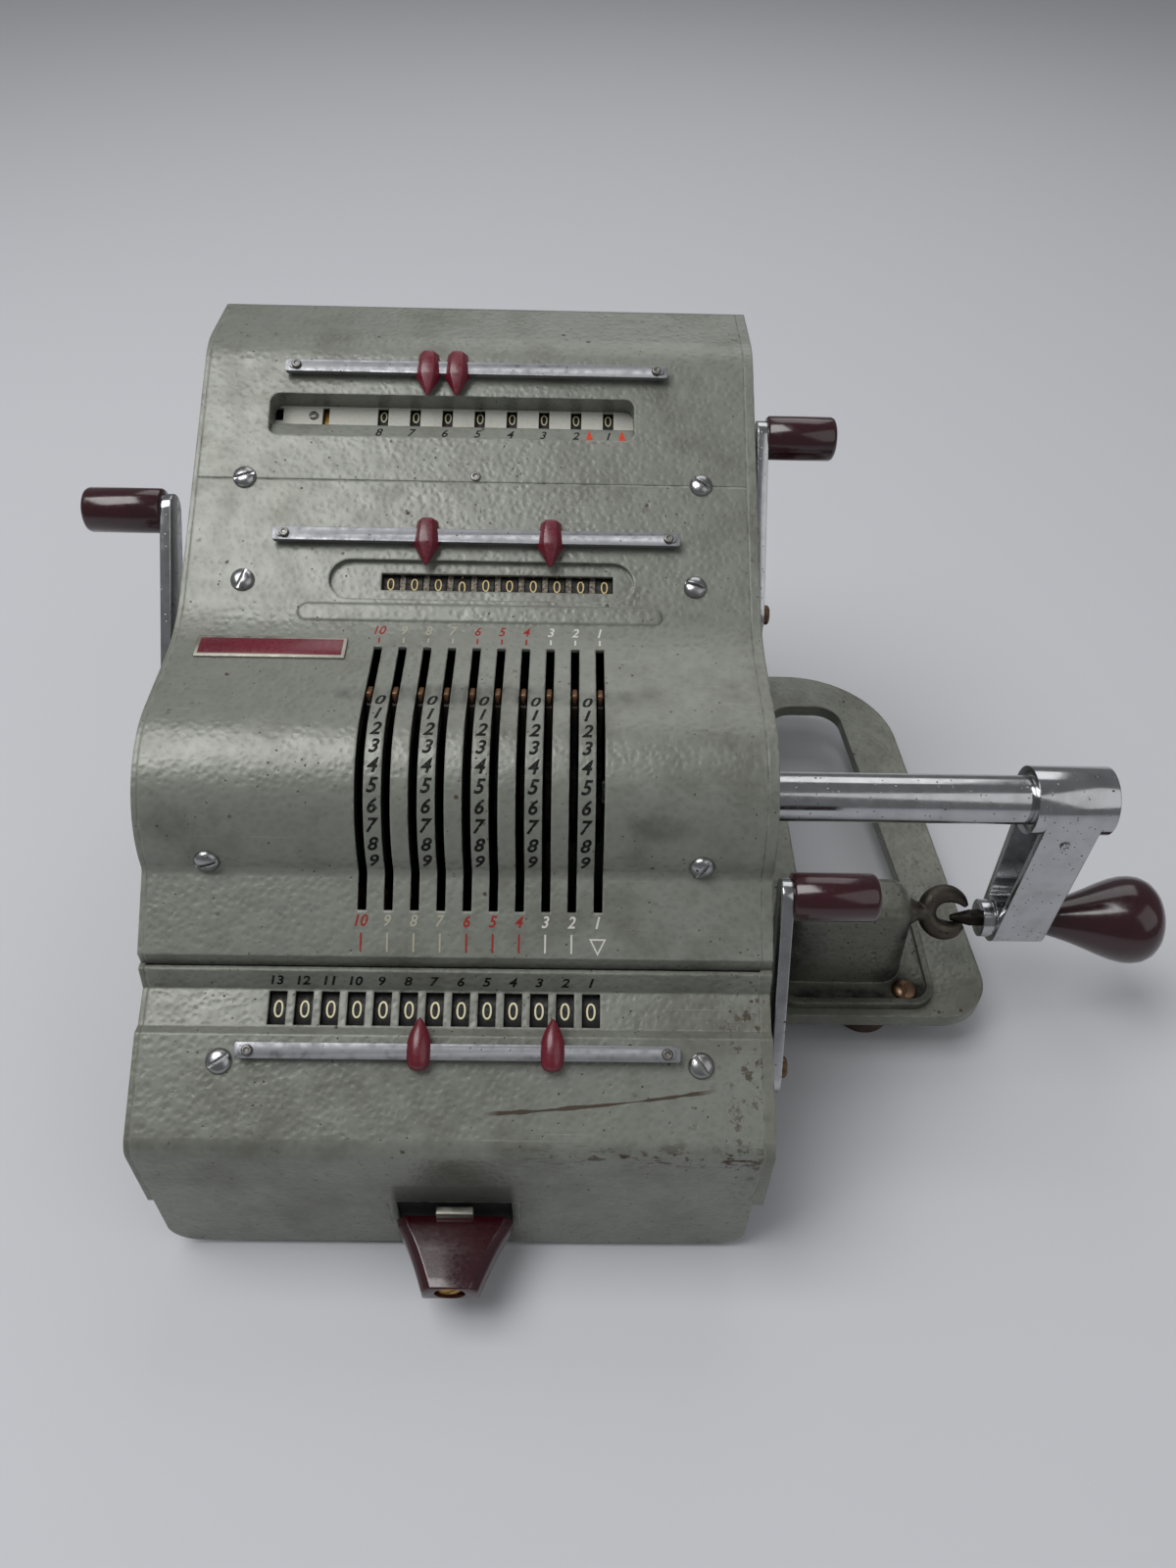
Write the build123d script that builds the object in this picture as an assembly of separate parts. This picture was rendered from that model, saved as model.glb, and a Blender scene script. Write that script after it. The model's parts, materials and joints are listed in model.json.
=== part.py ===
from build123d import *
from math import acos, atan2, cos, degrees, hypot, pi, radians, sin, tan
import os

# A hand-cranked pinwheel calculator.
# Drawing frame, in millimetres: x runs from the middle of the covers to the crank side,
# y from the drum axis to the rear, z from the drum axis up.

# ---- housing
cover_width = 164.3
sheet = 1.2
left_plate_thickness = 1.5
right_plate_thickness = 3.0
drum_cover_radius = 30.6
cover_top_height = 79.0
cover_top_depth = 32.2
slope_angle = 30.3
slope_to_flat_radius = 45.0
slope_to_top_radius = 22.0
rear_top_radius = 5.0
slope_top_y = 116.3
lip_angle = 39.1
lip_reach = 17.4
lip_bend_radius = 3.0
lip_fold = 4.6
seam_to_counter = 18.95
seam_gap = 0.2
body_front_inset = 11.0

# ---- base, feet and crank rest
foot_height = 15.0
foot_radius = 10.8
foot_taper = 1.6
base_thickness = 6.0
loop_thickness = 5.0
drum_axis_height = 98.0
rail_shelf_depth = 42.0
loop_reach = 49.95
loop_front_y = -22.5
loop_rear_radius = 40.0
loop_front_radius = 16.0
loop_bar = 19.0
loop_hole_front_y = 20.0
loop_hole_start = 26.85
loop_hole_radius = 10.0
rest_width = 43.5
rest_depth = 21.0
rest_height = 33.5
rest_to_crank = 46.9
rest_flange = 9.25
rest_flange_thickness = 3.0
rest_rim = 2.2
rest_corner_radius = 8.0
rest_draft = 3.0
catch_depth = 8.0
catch_thickness = 3.8
catch_gap = 7.4
catch_mouth = 55.0

# ---- setting mechanism
slot_count = 10
slot_pitch = 7.0
slot_width = 2.4
first_slot_x = 38.15
slot_rear_y = 27.0
slot_front_margin = 9.5
tip_gap = 0.4
lever_reach = 2.5
lever_thickness = 1.4
lever_rest_angle = 16.0
lever_hub_radius = 14.0
lever_tip_width = 5.0
lever_tip_edge = 1.0
side_gap = 0.35
shaft_radius = 5.0
running_gap = 0.05
wheel_boss_radius = 9.0
pin_count = 9
pin_thickness = 1.5
pin_width = 1.8
pin_length = 7.5
pin_clear = 0.3
pins_start_angle = 200.0
frame_thickness = 3.0
frame_gap = 14.0
tie_rod_radius = 4.0
tie_rod_rise = 12.0
tie_rod_inset = 20.0
frame_hole_margin = 24.0
frame_hole_radius = 8.0

# ---- gears and number wheels
module = 2.0
result_teeth = 10
transfer_teeth = 16
mesh_gap = 0.5
gear_thickness = 1.6
digit_wheel_radius = 8.0
result_wheel_radius = 11.5
digit_wheel_width = 5.0
digit_shaft_radius = 2.5
window_gap = 0.5
result_count = 13
result_first_x = 36.7
result_pitch = 7.0
result_window = (4.9, 9.0)
control_first_x = 39.5
control_window = (68.0, 5.4)
control_window_x = 8.0
control_recess = (89.0, 12.5)
control_recess_x = 3.5
control_recess_depth = 1.8
control_from_foot = 14.75
spacer_radius = 7.6
spacer_gap = 0.2
bead_size = (106.0, 6.6)
bead_height = 1.4
bead_from_foot = 5.15
counter_count = 8
counter_first_x = 40.5
counter_pitch = 10.0
counter_window = (110.9, 14.3)
counter_window_x = -7.25
counter_window_depth = 7.0
counter_corner_radius = 3.0
counter_from_top = 21.45
counter_digit_window = (3.3, 5.6)
counter_digit_rise = 4.3
counter_slit = (2.1, 5.6)
counter_slit_x = -47.2
counter_key_hole = (4.1, 4.4)
counter_key_hole_x = -62.4
counter_strip_width = 7.5
counter_strip_top = 1.2

# ---- carriage
carriage_travel = 49.0
carriage_gap = (2.3, 3.5)
band_drop = (1.4, 6.7)
window_drop = (8.8, 4.3)
brow_rise = (3.0, 0.6)
carriage_slope_angle = 31.1
carriage_depth = 38.7
carriage_height = 77.7
carriage_edge_radius = 6.0
carriage_corner_radius = 8.0
rail_height = 6.0
rail_width = 10.0
rail_margin = 6.0
rail_gap = 0.3
shoe_length = 24.0
shoe_wall = 4.0
shoe_stop = 1.5
beam_thickness = 6.0
knob_opening = (36.0, 15.0)
knob_opening_rise = 3.0

# ---- shift knob at the front
shift_length = 20.0
shift_rear_width = 33.0
shift_front_width = 15.3
shift_height = 7.0
shift_top_z = -76.0
shift_edge_radius = 1.0
shift_waist = 2.2
shift_pin_radius = 1.5
shift_ring_radius = 3.6

# ---- decimal markers and their rails
rail_bar = (4.2, 1.6)
counter_rail = (116.6, 0.0)
setting_rail = (119.4, 1.9)
result_rail = (116.6, 1.9)
rail_end_radius = 0.8
rail_raise = 1.5
rail_rivet_radius = 1.2
rail_rivet_head = 0.5
rail_rivet_inset = 2.4
counter_rail_from_top = 8.5
setting_rail_from_foot = 25.75
result_rail_drop = 4.1
marker_width = 6.4
marker_length = 13.6
marker_height = 5.0
marker_chamfer = 1.2
marker_shift = 1.9
marker_slot_gap = 0.3
counter_markers = (-14.8, -6.0)
setting_markers = (-12.7, 23.5)
result_markers = (-8.4, 26.6)

# ---- clearing levers
arm_thickness = 3.2
arm_gap = 0.4
arm_hub_radius = 7.0
arm_collar_radius = 6.0
arm_tip_radius = 5.0
arm_pivot_radius = 3.0
arm_length = 53.7
arm_lean = 51.0
grip_radius = 6.5
grip_chamfer = 1.5
left_grip_length = 23.0
counter_grip_length = 21.0
result_grip_length = 23.2
left_arm_standoff = 4.1
left_pivot = (33.0, 7.4)
counter_pivot = (58.5, 21.1)
result_arm_standoff = 1.4
result_arm_lean = 63.9
result_arm_length = 52.3
result_pivot_drop = (10.7, 34.9)

# ---- crank
tube_radius = 7.15
tube_length = 77.0
hub_radius = 10.0
hub_length = 23.0
crank_length = 54.0
crank_boss_radius = 7.5
crank_boss_length = 16.0
crank_collar_radius = 6.0
crank_collar_length = 3.6
crank_wall = 2.4
knob_radius = 13.8
knob_length = 38.0
knob_neck_radius = 4.4
knob_swell = (0.38, 0.72)
knob_widest = 0.73
knob_brow = (0.95, 0.7)
knob_tip_radius = 5.0
knob_gap = 0.3
lock_pin_radius = 2.6
lock_pin_tip_radius = 1.0
lock_pin_taper = 6.0
lock_pin_reach = 12.5
round_sides = 24

# ---- places that follow from the sizes above
half_width = cover_width / 2
left_face_x = -half_width - left_plate_thickness
right_face_x = half_width + right_plate_thickness
table_z = -drum_axis_height
base_low_z = table_z + foot_height
base_top_z = base_low_z + base_thickness
rear_y = slope_top_y + cover_top_depth
slope_run = (cover_top_height - drum_cover_radius) / tan(radians(slope_angle))
slope_foot_y = slope_top_y - slope_run
control_y = slope_foot_y + control_from_foot
bead_y = slope_foot_y + bead_from_foot
setting_rail_y = slope_foot_y + setting_rail_from_foot
counter_y = slope_top_y - counter_from_top
counter_rail_y = slope_top_y - counter_rail_from_top
cover_seam_y = counter_y - seam_to_counter
lip_front_y = -drum_cover_radius - lip_reach
lip_front_z = -lip_reach * tan(radians(lip_angle))
body_front_y = lip_front_y + body_front_inset
cover_inner_radius = drum_cover_radius - sheet
tip_radius = cover_inner_radius - tip_gap
pinwheel_radius = tip_radius - lever_reach
pinwheel_thickness = slot_pitch - lever_thickness - 2 * side_gap - pin_thickness
band_top = (lip_front_y - carriage_gap[0], lip_front_z - carriage_gap[1])
band_foot = (band_top[0] - band_drop[0], band_top[1] - band_drop[1])
window_foot = (band_foot[0] - window_drop[0], band_foot[1] - window_drop[1])
brow = (window_foot[0] - brow_rise[0], window_foot[1] + brow_rise[1])
front_y = band_top[0] - carriage_depth
front_top_z = brow[1] - (brow[0] - front_y) * tan(radians(carriage_slope_angle))
carriage_low_z = band_top[1] - carriage_height
shelf_front_y = body_front_y - rail_shelf_depth
rail_y = (shelf_front_y + body_front_y) / 2 - rail_margin
crank_end_x = right_face_x + tube_length + hub_length
boss_high_x = crank_end_x - (hub_length - crank_boss_length) / 2
boss_low_x = boss_high_x - crank_boss_length
knob_low_x = boss_high_x + knob_gap
rest_centre_x = boss_low_x - rest_to_crank
loop_outer_x = rest_centre_x + loop_reach
loop_hole_left_x = right_face_x + loop_hole_start
guide_length = cover_width - 4 * rail_margin
shoe_spacing = guide_length - carriage_travel - shoe_length - 2 * shoe_stop
shoe_low_x = -guide_length / 2 + shoe_stop + shoe_length / 2
left_frame_x = first_slot_x - (slot_count - 1) * slot_pitch - frame_gap
right_frame_x = first_slot_x + frame_gap
shift_pivot_y = front_y + sheet + shift_ring_radius + side_gap

# The part stands on its feet, centred under its own outline.
origin_x = (left_face_x - left_arm_standoff - arm_thickness - left_grip_length + knob_low_x + knob_length) / 2
origin_y = (front_y - sheet - shift_length + rear_y) / 2
origin = (origin_x, origin_y, table_z)


# ---- small helpers
def slab(outline, low_x, high_x):
    """A side view, drawn in y and z, given its thickness along x."""
    return extrude(Plane.YZ.offset(low_x) * outline, high_x - low_x, dir=(1, 0, 0))


def x_rod(radius, low_x, high_x, centre=(0, 0)):
    return slab(Pos(*centre) * Circle(radius), low_x, high_x)


def x_prism(radius, low_x, high_x, centre=(0, 0), sides=round_sides):
    """A light round piece: flat to flat it measures twice the radius."""
    outline = RegularPolygon(radius, sides, major_radius=False)
    return slab(Pos(*centre) * outline, low_x, high_x)


def yz_box(low, high, half_x):
    size_y = high[0] - low[0]
    size_z = high[1] - low[1]
    return Pos(0, low[0] + size_y / 2, low[1] + size_z / 2) * Box(2 * half_x, size_y, size_z)


def yz_face(low, high):
    """A rectangle between two corners of the side view."""
    size_y = high[0] - low[0]
    size_z = high[1] - low[1]
    return Pos(low[0] + size_y / 2, low[1] + size_z / 2) * Rectangle(size_y, size_z)


def slope_z(y):
    """Height of the rear slope of the covers."""
    return drum_cover_radius + (y - slope_foot_y) * tan(radians(slope_angle))


def slope_plane(y):
    """On the rear slope: local x to the crank side, local y up the slope."""
    tilt = radians(slope_angle)
    return Plane((0, y, slope_z(y)), x_dir=(1, 0, 0), z_dir=(0, -sin(tilt), cos(tilt)))


def carriage_plane(drop):
    """On the carriage slope, at a distance below its brow."""
    tilt = radians(carriage_slope_angle)
    place = (0, brow[0] - drop * cos(tilt), brow[1] - drop * sin(tilt))
    return Plane(place, x_dir=(1, 0, 0), z_dir=(0, -sin(tilt), cos(tilt)))


def below(plane, depth):
    """The point at a depth under the middle of a plane, in y and z."""
    point = plane.origin - plane.z_dir * depth
    return (point.Y, point.Z)


def window_plane():
    """On the band of the carriage that holds the result windows."""
    tilt = atan2(window_drop[1], window_drop[0])
    middle = ((band_foot[0] + window_foot[0]) / 2, (band_foot[1] + window_foot[1]) / 2)
    return Plane((0, *middle), x_dir=(1, 0, 0), z_dir=(0, -sin(tilt), cos(tilt)))


under_window = sheet + window_gap + digit_wheel_radius
control_axis = below(slope_plane(control_y), control_recess_depth + under_window)
counter_digit_y = counter_y + counter_digit_rise * cos(radians(slope_angle))
counter_axis = below(slope_plane(counter_digit_y), counter_window_depth + under_window)
result_axis = below(window_plane(), sheet + window_gap + result_wheel_radius)


def gear_radius(teeth):
    return module * teeth / 2


gear_tip = 0.7 * module
gear_root = 1.2 * module


def transfer_place():
    """The transfer gears stand just clear of the drawn-in pins and of the result wheels."""
    tip = gear_radius(transfer_teeth) + gear_tip
    to_drum = pinwheel_radius + mesh_gap + tip
    to_result = result_wheel_radius + mesh_gap + tip
    span = hypot(*result_axis)
    cosine = (to_drum ** 2 + span ** 2 - to_result ** 2) / (2 * to_drum * span)
    angle = atan2(result_axis[1], result_axis[0]) + acos(cosine)
    return (to_drum * cos(angle), to_drum * sin(angle))


transfer_axis = transfer_place()


def gear_outline(teeth):
    """A star of pointed teeth."""
    points = []
    for step in range(2 * teeth):
        reach = gear_tip if step % 2 == 0 else -gear_root
        angle = pi * step / teeth
        radius = gear_radius(teeth) + reach
        points.append((radius * cos(angle), radius * sin(angle)))
    return Polygon(*points, align=None)


def slot_x(number):
    return first_slot_x - number * slot_pitch


# ---- housing
def body_outline():
    """Side view of the closed housing above the base."""
    edges = [
        Line((lip_front_y, lip_front_z), (-drum_cover_radius, 0)),
        CenterArc((0, 0), drum_cover_radius, 90, 90),
        Polyline(
            (0, drum_cover_radius),
            (slope_foot_y, drum_cover_radius),
            (slope_top_y, cover_top_height),
            (rear_y, cover_top_height),
            (rear_y, base_top_z),
            (lip_front_y, base_top_z),
            (lip_front_y, lip_front_z),
        ),
    ]
    face = make_face(Curve() + edges)
    for place, radius in [
        ((-drum_cover_radius, 0), lip_bend_radius),
        ((slope_foot_y, drum_cover_radius), slope_to_flat_radius),
        ((slope_top_y, cover_top_height), slope_to_top_radius),
        ((rear_y, cover_top_height), rear_top_radius),
    ]:
        corner = face.vertices().sort_by_distance(Vector(*place))[0]
        face = fillet(corner, radius)
    return face


def cover_shell():
    """Both bent covers before they are parted at the seam."""
    outer = body_outline()
    shell = slab(outer - offset(outer, -sheet), -half_width, half_width)
    low = (lip_front_y - 1, base_top_z - 1)
    bottom = yz_box(low, (rear_y - sheet, base_top_z + sheet), half_width + 1)
    front = yz_box(low, (lip_front_y + sheet, lip_front_z - lip_fold), half_width + 1)
    return shell - bottom - front


def seam_side(direction):
    """A large block behind the seam (+1) or in front of it (-1)."""
    reach = 2 * cover_width + 2 * rear_y
    return Pos(0, cover_seam_y + direction * (reach + seam_gap) / 2, 0) * Box(reach, reach, reach)


def counter_window_sketch(grow):
    outline = Rectangle(counter_window[0] + 2 * grow, counter_window[1] + 2 * grow)
    return fillet(outline.vertices(), counter_corner_radius + grow)


def counter_strip():
    """The slanted strip along the front of the counter's well, for the numbers of its places."""
    plane = slope_plane(counter_y)
    section = Plane(plane.origin, x_dir=plane.y_dir, z_dir=plane.x_dir)
    front = -(counter_window[1] + sheet) / 2
    outline = Polygon(
        (front, -counter_window_depth),
        (front + counter_strip_width, -counter_window_depth),
        (front, -counter_strip_top),
        align=None,
    )
    strip = extrude(section.offset(counter_window_x) * outline, counter_window[0] / 2, both=True)
    room = extrude(plane * Pos(counter_window_x, 0, 0) * counter_window_sketch(sheet / 2), -counter_window_depth)
    return strip & room


def rear_cover():
    plane = slope_plane(counter_y)
    floor = plane * Pos(counter_window_x, 0, -counter_window_depth)
    well = extrude(floor * counter_window_sketch(sheet), counter_window_depth - sheet / 2)
    hole = extrude(floor * counter_window_sketch(0), 2 * counter_window_depth, both=True)
    return (cover_shell() & seam_side(1)) + well - hole + counter_strip()


def front_cover():
    shell = cover_shell() & seam_side(-1)
    plane = slope_plane(control_y)
    recess = SlotOverall(*control_recess)
    pan = SlotOverall(control_recess[0] + 2 * sheet, control_recess[1] + 2 * sheet)
    floor = plane * Pos(control_recess_x, 0, -control_recess_depth)
    shell += extrude(floor * Pos(0, 0, -sheet) * pan, control_recess_depth + sheet / 2)
    shell -= extrude(floor * recess, 2 * control_recess_depth)
    window = Pos(control_window_x, 0, 0) * Rectangle(*control_window)
    shell -= extrude(plane * window, 3 * control_recess_depth, both=True)
    bead_floor = slope_plane(bead_y) * Pos(control_recess_x, 0, -sheet / 2)
    bead = extrude(bead_floor * SlotOverall(*bead_size), bead_height + sheet / 2)
    top = bead.faces().sort_by_distance(Vector(control_recess_x, bead_y, slope_z(bead_y) + bead_height))[0]
    shell += fillet(top.edges(), bead_height)
    front_end_y = lip_front_y + slot_front_margin
    slot = yz_box((front_end_y, lip_front_z), (slot_rear_y, drum_cover_radius + sheet), slot_width / 2)
    for number in range(slot_count):
        shell -= Pos(slot_x(number), 0, 0) * slot
    return shell


def side_outline():
    """The side plates leave room in front for the end plates of the carriage."""
    return body_outline() - yz_face((lip_front_y - sheet, base_low_z), (body_front_y, lip_front_z - lip_fold))


def side_plate_left():
    plate = slab(side_outline(), left_face_x, -half_width)
    return plate - x_rod(arm_pivot_radius + running_gap, left_face_x - 1, 0, left_pivot)


def side_plate_right():
    plate = slab(side_outline(), half_width, right_face_x)
    plate -= x_rod(tube_radius + arm_gap, 0, right_face_x + 1)
    plate -= x_rod(arm_pivot_radius + running_gap, 0, right_face_x + 1, counter_pivot)
    return plate


def counter_plate():
    """The light plate at the bottom of the counter's well, with a window for each wheel."""
    plane = slope_plane(counter_y) * Pos(0, 0, -counter_window_depth - sheet)
    size = (counter_window[0] + 2 * sheet, counter_window[1] + 2 * sheet)
    plate = extrude(plane * Pos(counter_window_x, 0, 0) * Rectangle(*size), sheet)
    holes = [(counter_first_x - number * counter_pitch, counter_digit_window) for number in range(counter_count)]
    holes += [(counter_slit_x, counter_slit), (counter_key_hole_x, counter_key_hole)]
    for x, hole in holes:
        plate -= extrude(plane * Pos(x, counter_digit_rise, 0) * Rectangle(*hole), 2 * sheet, both=True)
    return plate


# ---- base
def loop_outline():
    """The open loop on the crank side that carries the crank rest."""
    corner_x = loop_outer_x
    outer = Polygon(
        (0, loop_front_y),
        (corner_x, loop_front_y),
        (corner_x - loop_bar / 2, rear_y),
        (0, rear_y),
        align=None,
    )
    front_corner = ((corner_x, loop_front_y), loop_front_radius)
    rear_corner = ((corner_x, rear_y), loop_rear_radius)
    for place, radius in (front_corner, rear_corner):
        corner = outer.vertices().sort_by_distance(Vector(*place))[0]
        outer = fillet(corner, radius)
    hole_right = corner_x - loop_bar
    hole = Polygon(
        (loop_hole_left_x, loop_hole_front_y),
        (hole_right, loop_hole_front_y),
        (hole_right - loop_bar / 2, rear_y - loop_bar),
        (loop_hole_left_x, rear_y - loop_bar),
        align=None,
    )
    return outer - fillet(hole.vertices(), loop_hole_radius)


def base_casting():
    loop = extrude(Pos(0, 0, base_top_z - loop_thickness) * loop_outline(), loop_thickness)
    middle = Pos((left_face_x + right_face_x) / 2, (rear_y + body_front_y) / 2, base_low_z)
    outline = Rectangle(right_face_x - left_face_x, rear_y - body_front_y)
    plate = middle * extrude(outline, base_thickness)
    shelf_width = cover_width - 2 * rail_margin
    shelf = Pos(0, (shelf_front_y + body_front_y) / 2, base_low_z) * extrude(
        Rectangle(shelf_width, rail_shelf_depth), base_thickness
    )
    return loop + plate + shelf


def foot_places():
    inset_x = half_width - foot_radius - foot_taper - rail_margin
    front = shelf_front_y + foot_radius + foot_taper + rail_margin
    rear = rear_y - foot_radius - foot_taper - rail_margin
    places = [(side * inset_x, y) for side in (-1, 1) for y in (front, rear)]
    loop_foot_x = rest_centre_x + foot_radius + foot_taper + rail_gap
    places.append((loop_foot_x, loop_front_y + foot_radius + rail_margin))
    return places


def rubber_feet():
    feet = []
    for number, (x, y) in enumerate(foot_places()):
        top = base_low_z if number < 4 else base_top_z - loop_thickness
        height = top - table_z
        foot = Cone(foot_radius - foot_taper, foot_radius, height, align=(Align.CENTER, Align.CENTER, Align.MIN))
        feet.append(Pos(x, y, table_z) * foot)
    return Compound(feet)


def crank_rest():
    """The box beside the crank, standing in its dished flange on the base loop."""
    base = Pos(rest_centre_x, 0, base_top_z)
    outline = RectangleRounded(rest_width, rest_depth, rest_corner_radius)
    block = base * extrude(outline, rest_height, taper=rest_draft)
    block = fillet(block.faces().sort_by(Axis.Z)[-1].edges(), rest_corner_radius / 2)
    flange_depth = rest_depth + 2 * rest_flange
    flange = RectangleRounded(rest_width + rest_flange, flange_depth, rest_corner_radius)
    dish = Pos(0, 0, rest_flange_thickness / 2) * extrude(offset(flange, -rest_rim), rest_flange_thickness)
    tray = extrude(flange, rest_flange_thickness) - dish
    return block + base * Pos(rest_flange / 2, 0, 0) * tray


def crank_catch():
    """An open hook that the crank's lock pin stands in."""
    middle = Pos(boss_low_x - lock_pin_reach, 0, -crank_length)
    inner = catch_gap / 2
    outer = inner + catch_thickness
    view = Plane.XZ.offset(-catch_depth / 2)
    ring = extrude(view * (Circle(outer) - Circle(inner)), catch_depth)
    reach = 2 * outer
    rise = reach * tan(radians(catch_mouth))
    mouth = extrude(view * Polygon((0, 0), (reach, -rise), (reach, rise), align=None), catch_depth)
    stem_length = boss_low_x - lock_pin_reach - inner - rest_centre_x
    stem = Pos(-inner - stem_length / 2, 0, 0) * Box(stem_length, catch_depth, 2 * catch_thickness)
    return middle * (ring - mouth + stem) - crank_rest()


# ---- frames and shafts
def frame_outline():
    """Inside the housing, and behind the carriage."""
    inner = offset(body_outline(), -(sheet + side_gap))
    front = yz_face((lip_front_y, base_low_z), (body_front_y + sheet, drum_cover_radius))
    return inner - front


def tie_rod_places():
    low = base_top_z + tie_rod_rise
    rear = rear_y - tie_rod_inset
    return [(0, low), (rear, low), (rear, 0)]


def frame_plate(low_x):
    """A bearing plate; its foot stands on the base."""
    outline = frame_outline()
    middle = Pos((counter_axis[0] + control_axis[0]) / 2, (base_top_z + control_axis[1]) / 2)
    length = counter_axis[0] - control_axis[0]
    height = control_axis[1] - base_top_z - frame_hole_margin
    outline -= middle * RectangleRounded(length, height, frame_hole_radius)
    plate = slab(outline, low_x, low_x + frame_thickness)
    plate -= x_rod(shaft_radius + running_gap, low_x - 1, low_x + frame_thickness + 1)
    for centre in (transfer_axis, control_axis, counter_axis):
        plate -= x_rod(digit_shaft_radius, low_x - 1, low_x + frame_thickness + 1, centre)
    counter_well = (counter_y, counter_window[1], counter_window_depth)
    control_well = (control_y, control_recess[1], control_recess_depth)
    for y, well_width, depth in (counter_well, control_well):
        width = well_width + 2 * sheet + 2 * side_gap
        plate -= slope_plane(y) * Box(2 * cover_width, width, 2 * (depth + sheet + side_gap))
    foot = yz_box((0, base_top_z), (counter_axis[0], base_top_z + sheet + side_gap), frame_thickness / 2)
    return plate + Pos(low_x + frame_thickness / 2, 0, 0) * foot


def bearing_frames():
    return Compound([frame_plate(left_frame_x - frame_thickness), frame_plate(right_frame_x)])


def cross_shafts():
    """The three fixed shafts and the tie rods; spacers part the wheels of the control register."""
    low_x = left_frame_x - frame_thickness
    high_x = right_frame_x + frame_thickness
    transfer, control, counter = [
        x_rod(digit_shaft_radius, low_x, high_x, centre) for centre in (transfer_axis, control_axis, counter_axis)
    ]
    half = (slot_pitch - digit_wheel_width) / 2 - spacer_gap
    for number in range(slot_count + 1):
        middle = control_first_x - (number - 0.5) * slot_pitch
        control += x_prism(spacer_radius, middle - half, middle + half, control_axis, 20)
    rods = [x_rod(tie_rod_radius, left_frame_x, right_frame_x, centre) for centre in tie_rod_places()]
    return Compound([transfer, control, counter, *rods])


def guide_rail():
    return Pos(0, rail_y, base_top_z + rail_height / 2) * Box(guide_length, rail_width, rail_height)


# ---- drum and setting levers
def crank_shaft():
    inner = x_rod(shaft_radius, left_frame_x - frame_thickness, right_face_x)
    tube_start = right_frame_x + frame_thickness + side_gap
    return inner + x_rod(tube_radius, tube_start, right_face_x + tube_length + hub_length / 2)


def pinwheel_low_x(number):
    return slot_x(number) - slot_pitch + lever_thickness / 2 + side_gap


def pinwheels():
    wheels = []
    for number in range(slot_count):
        low_x = pinwheel_low_x(number)
        disc = x_prism(pinwheel_radius, low_x + pin_thickness, low_x + pin_thickness + pinwheel_thickness)
        boss = x_prism(wheel_boss_radius, low_x, low_x + slot_pitch)
        bore = x_prism(shaft_radius + running_gap, low_x - 1, low_x + slot_pitch + 1, sides=12)
        wheels.append(disc + boss - bore)
    return Compound(wheels)


def setting_pins():
    """Nine pins on the face of each wheel, drawn in."""
    pins = []
    pitch_angle = degrees(pi * module / pinwheel_radius)
    outer = pinwheel_radius - pin_clear
    for number in range(slot_count):
        middle_x = pinwheel_low_x(number) + pin_thickness / 2
        for pin in range(pin_count):
            block = Pos(middle_x, outer - pin_length / 2, 0) * Box(pin_thickness, pin_length, pin_width)
            pins.append(Rot(pins_start_angle + pin * pitch_angle, 0, 0) * block)
    return Compound(pins)


def setting_lever(number):
    """A cam ring round the wheel's boss, with the finger tip that shows in the slot."""
    ring = RegularPolygon(lever_hub_radius, 16, major_radius=False)
    tip = Polygon(
        (lever_hub_radius / 2, lever_hub_radius / 2),
        (lever_tip_width / 2, tip_radius - lever_tip_edge),
        (lever_tip_width / 3, tip_radius),
        (-lever_tip_width / 3, tip_radius),
        (-lever_tip_width / 2, tip_radius - lever_tip_edge),
        (-lever_hub_radius / 2, lever_hub_radius / 2),
        align=None,
    )
    outline = ring + tip - RegularPolygon(wheel_boss_radius + 4 * running_gap, 12, major_radius=False)
    middle = slot_x(number)
    flat = slab(outline, middle - lever_thickness / 2, middle + lever_thickness / 2)
    return Rot(-lever_rest_angle, 0, 0) * flat


# ---- number wheels and gears
def digit_wheel(middle_x, centre, radius=digit_wheel_radius):
    half = digit_wheel_width / 2
    wheel = x_prism(radius, middle_x - half, middle_x + half, centre, 20)
    return wheel - x_prism(digit_shaft_radius + running_gap, middle_x - half - 1, middle_x + half + 1, centre, 8)


def control_wheel(number):
    return digit_wheel(control_first_x - number * slot_pitch, control_axis)


def counter_wheels():
    places = [counter_first_x - number * counter_pitch for number in range(counter_count)]
    return Compound([digit_wheel(x, counter_axis) for x in places])


def gear_mid_x(number):
    return pinwheel_low_x(number) + gear_thickness / 2


def result_wheels():
    """Each wheel has its own ten-tooth gear on the left."""
    wheels = []
    star = Pos(*result_axis) * gear_outline(result_teeth)
    for number in range(result_count):
        middle = result_first_x - number * result_pitch
        gear_low_x = middle - digit_wheel_width / 2 - gear_thickness
        gear = slab(star, gear_low_x, gear_low_x + gear_thickness)
        bore = x_prism(digit_shaft_radius + running_gap, gear_low_x - 1, middle, result_axis, 8)
        wheels.append(digit_wheel(middle, result_axis, result_wheel_radius) + gear - bore)
    return Compound(wheels)


def transfer_gears():
    gears = []
    star = Pos(*transfer_axis) * gear_outline(transfer_teeth)
    for number in range(slot_count):
        middle = gear_mid_x(number)
        gear = slab(star, middle - gear_thickness / 2, middle + gear_thickness / 2)
        gears.append(gear - x_prism(digit_shaft_radius + running_gap, middle - 5, middle + 5, transfer_axis, 8))
    return Compound(gears)


# ---- crank
def link(centre_a, radius_a, centre_b, radius_b):
    circles = Pos(*centre_a) * Circle(radius_a) + Pos(*centre_b) * Circle(radius_b)
    return make_hull(circles.edges())


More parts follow.
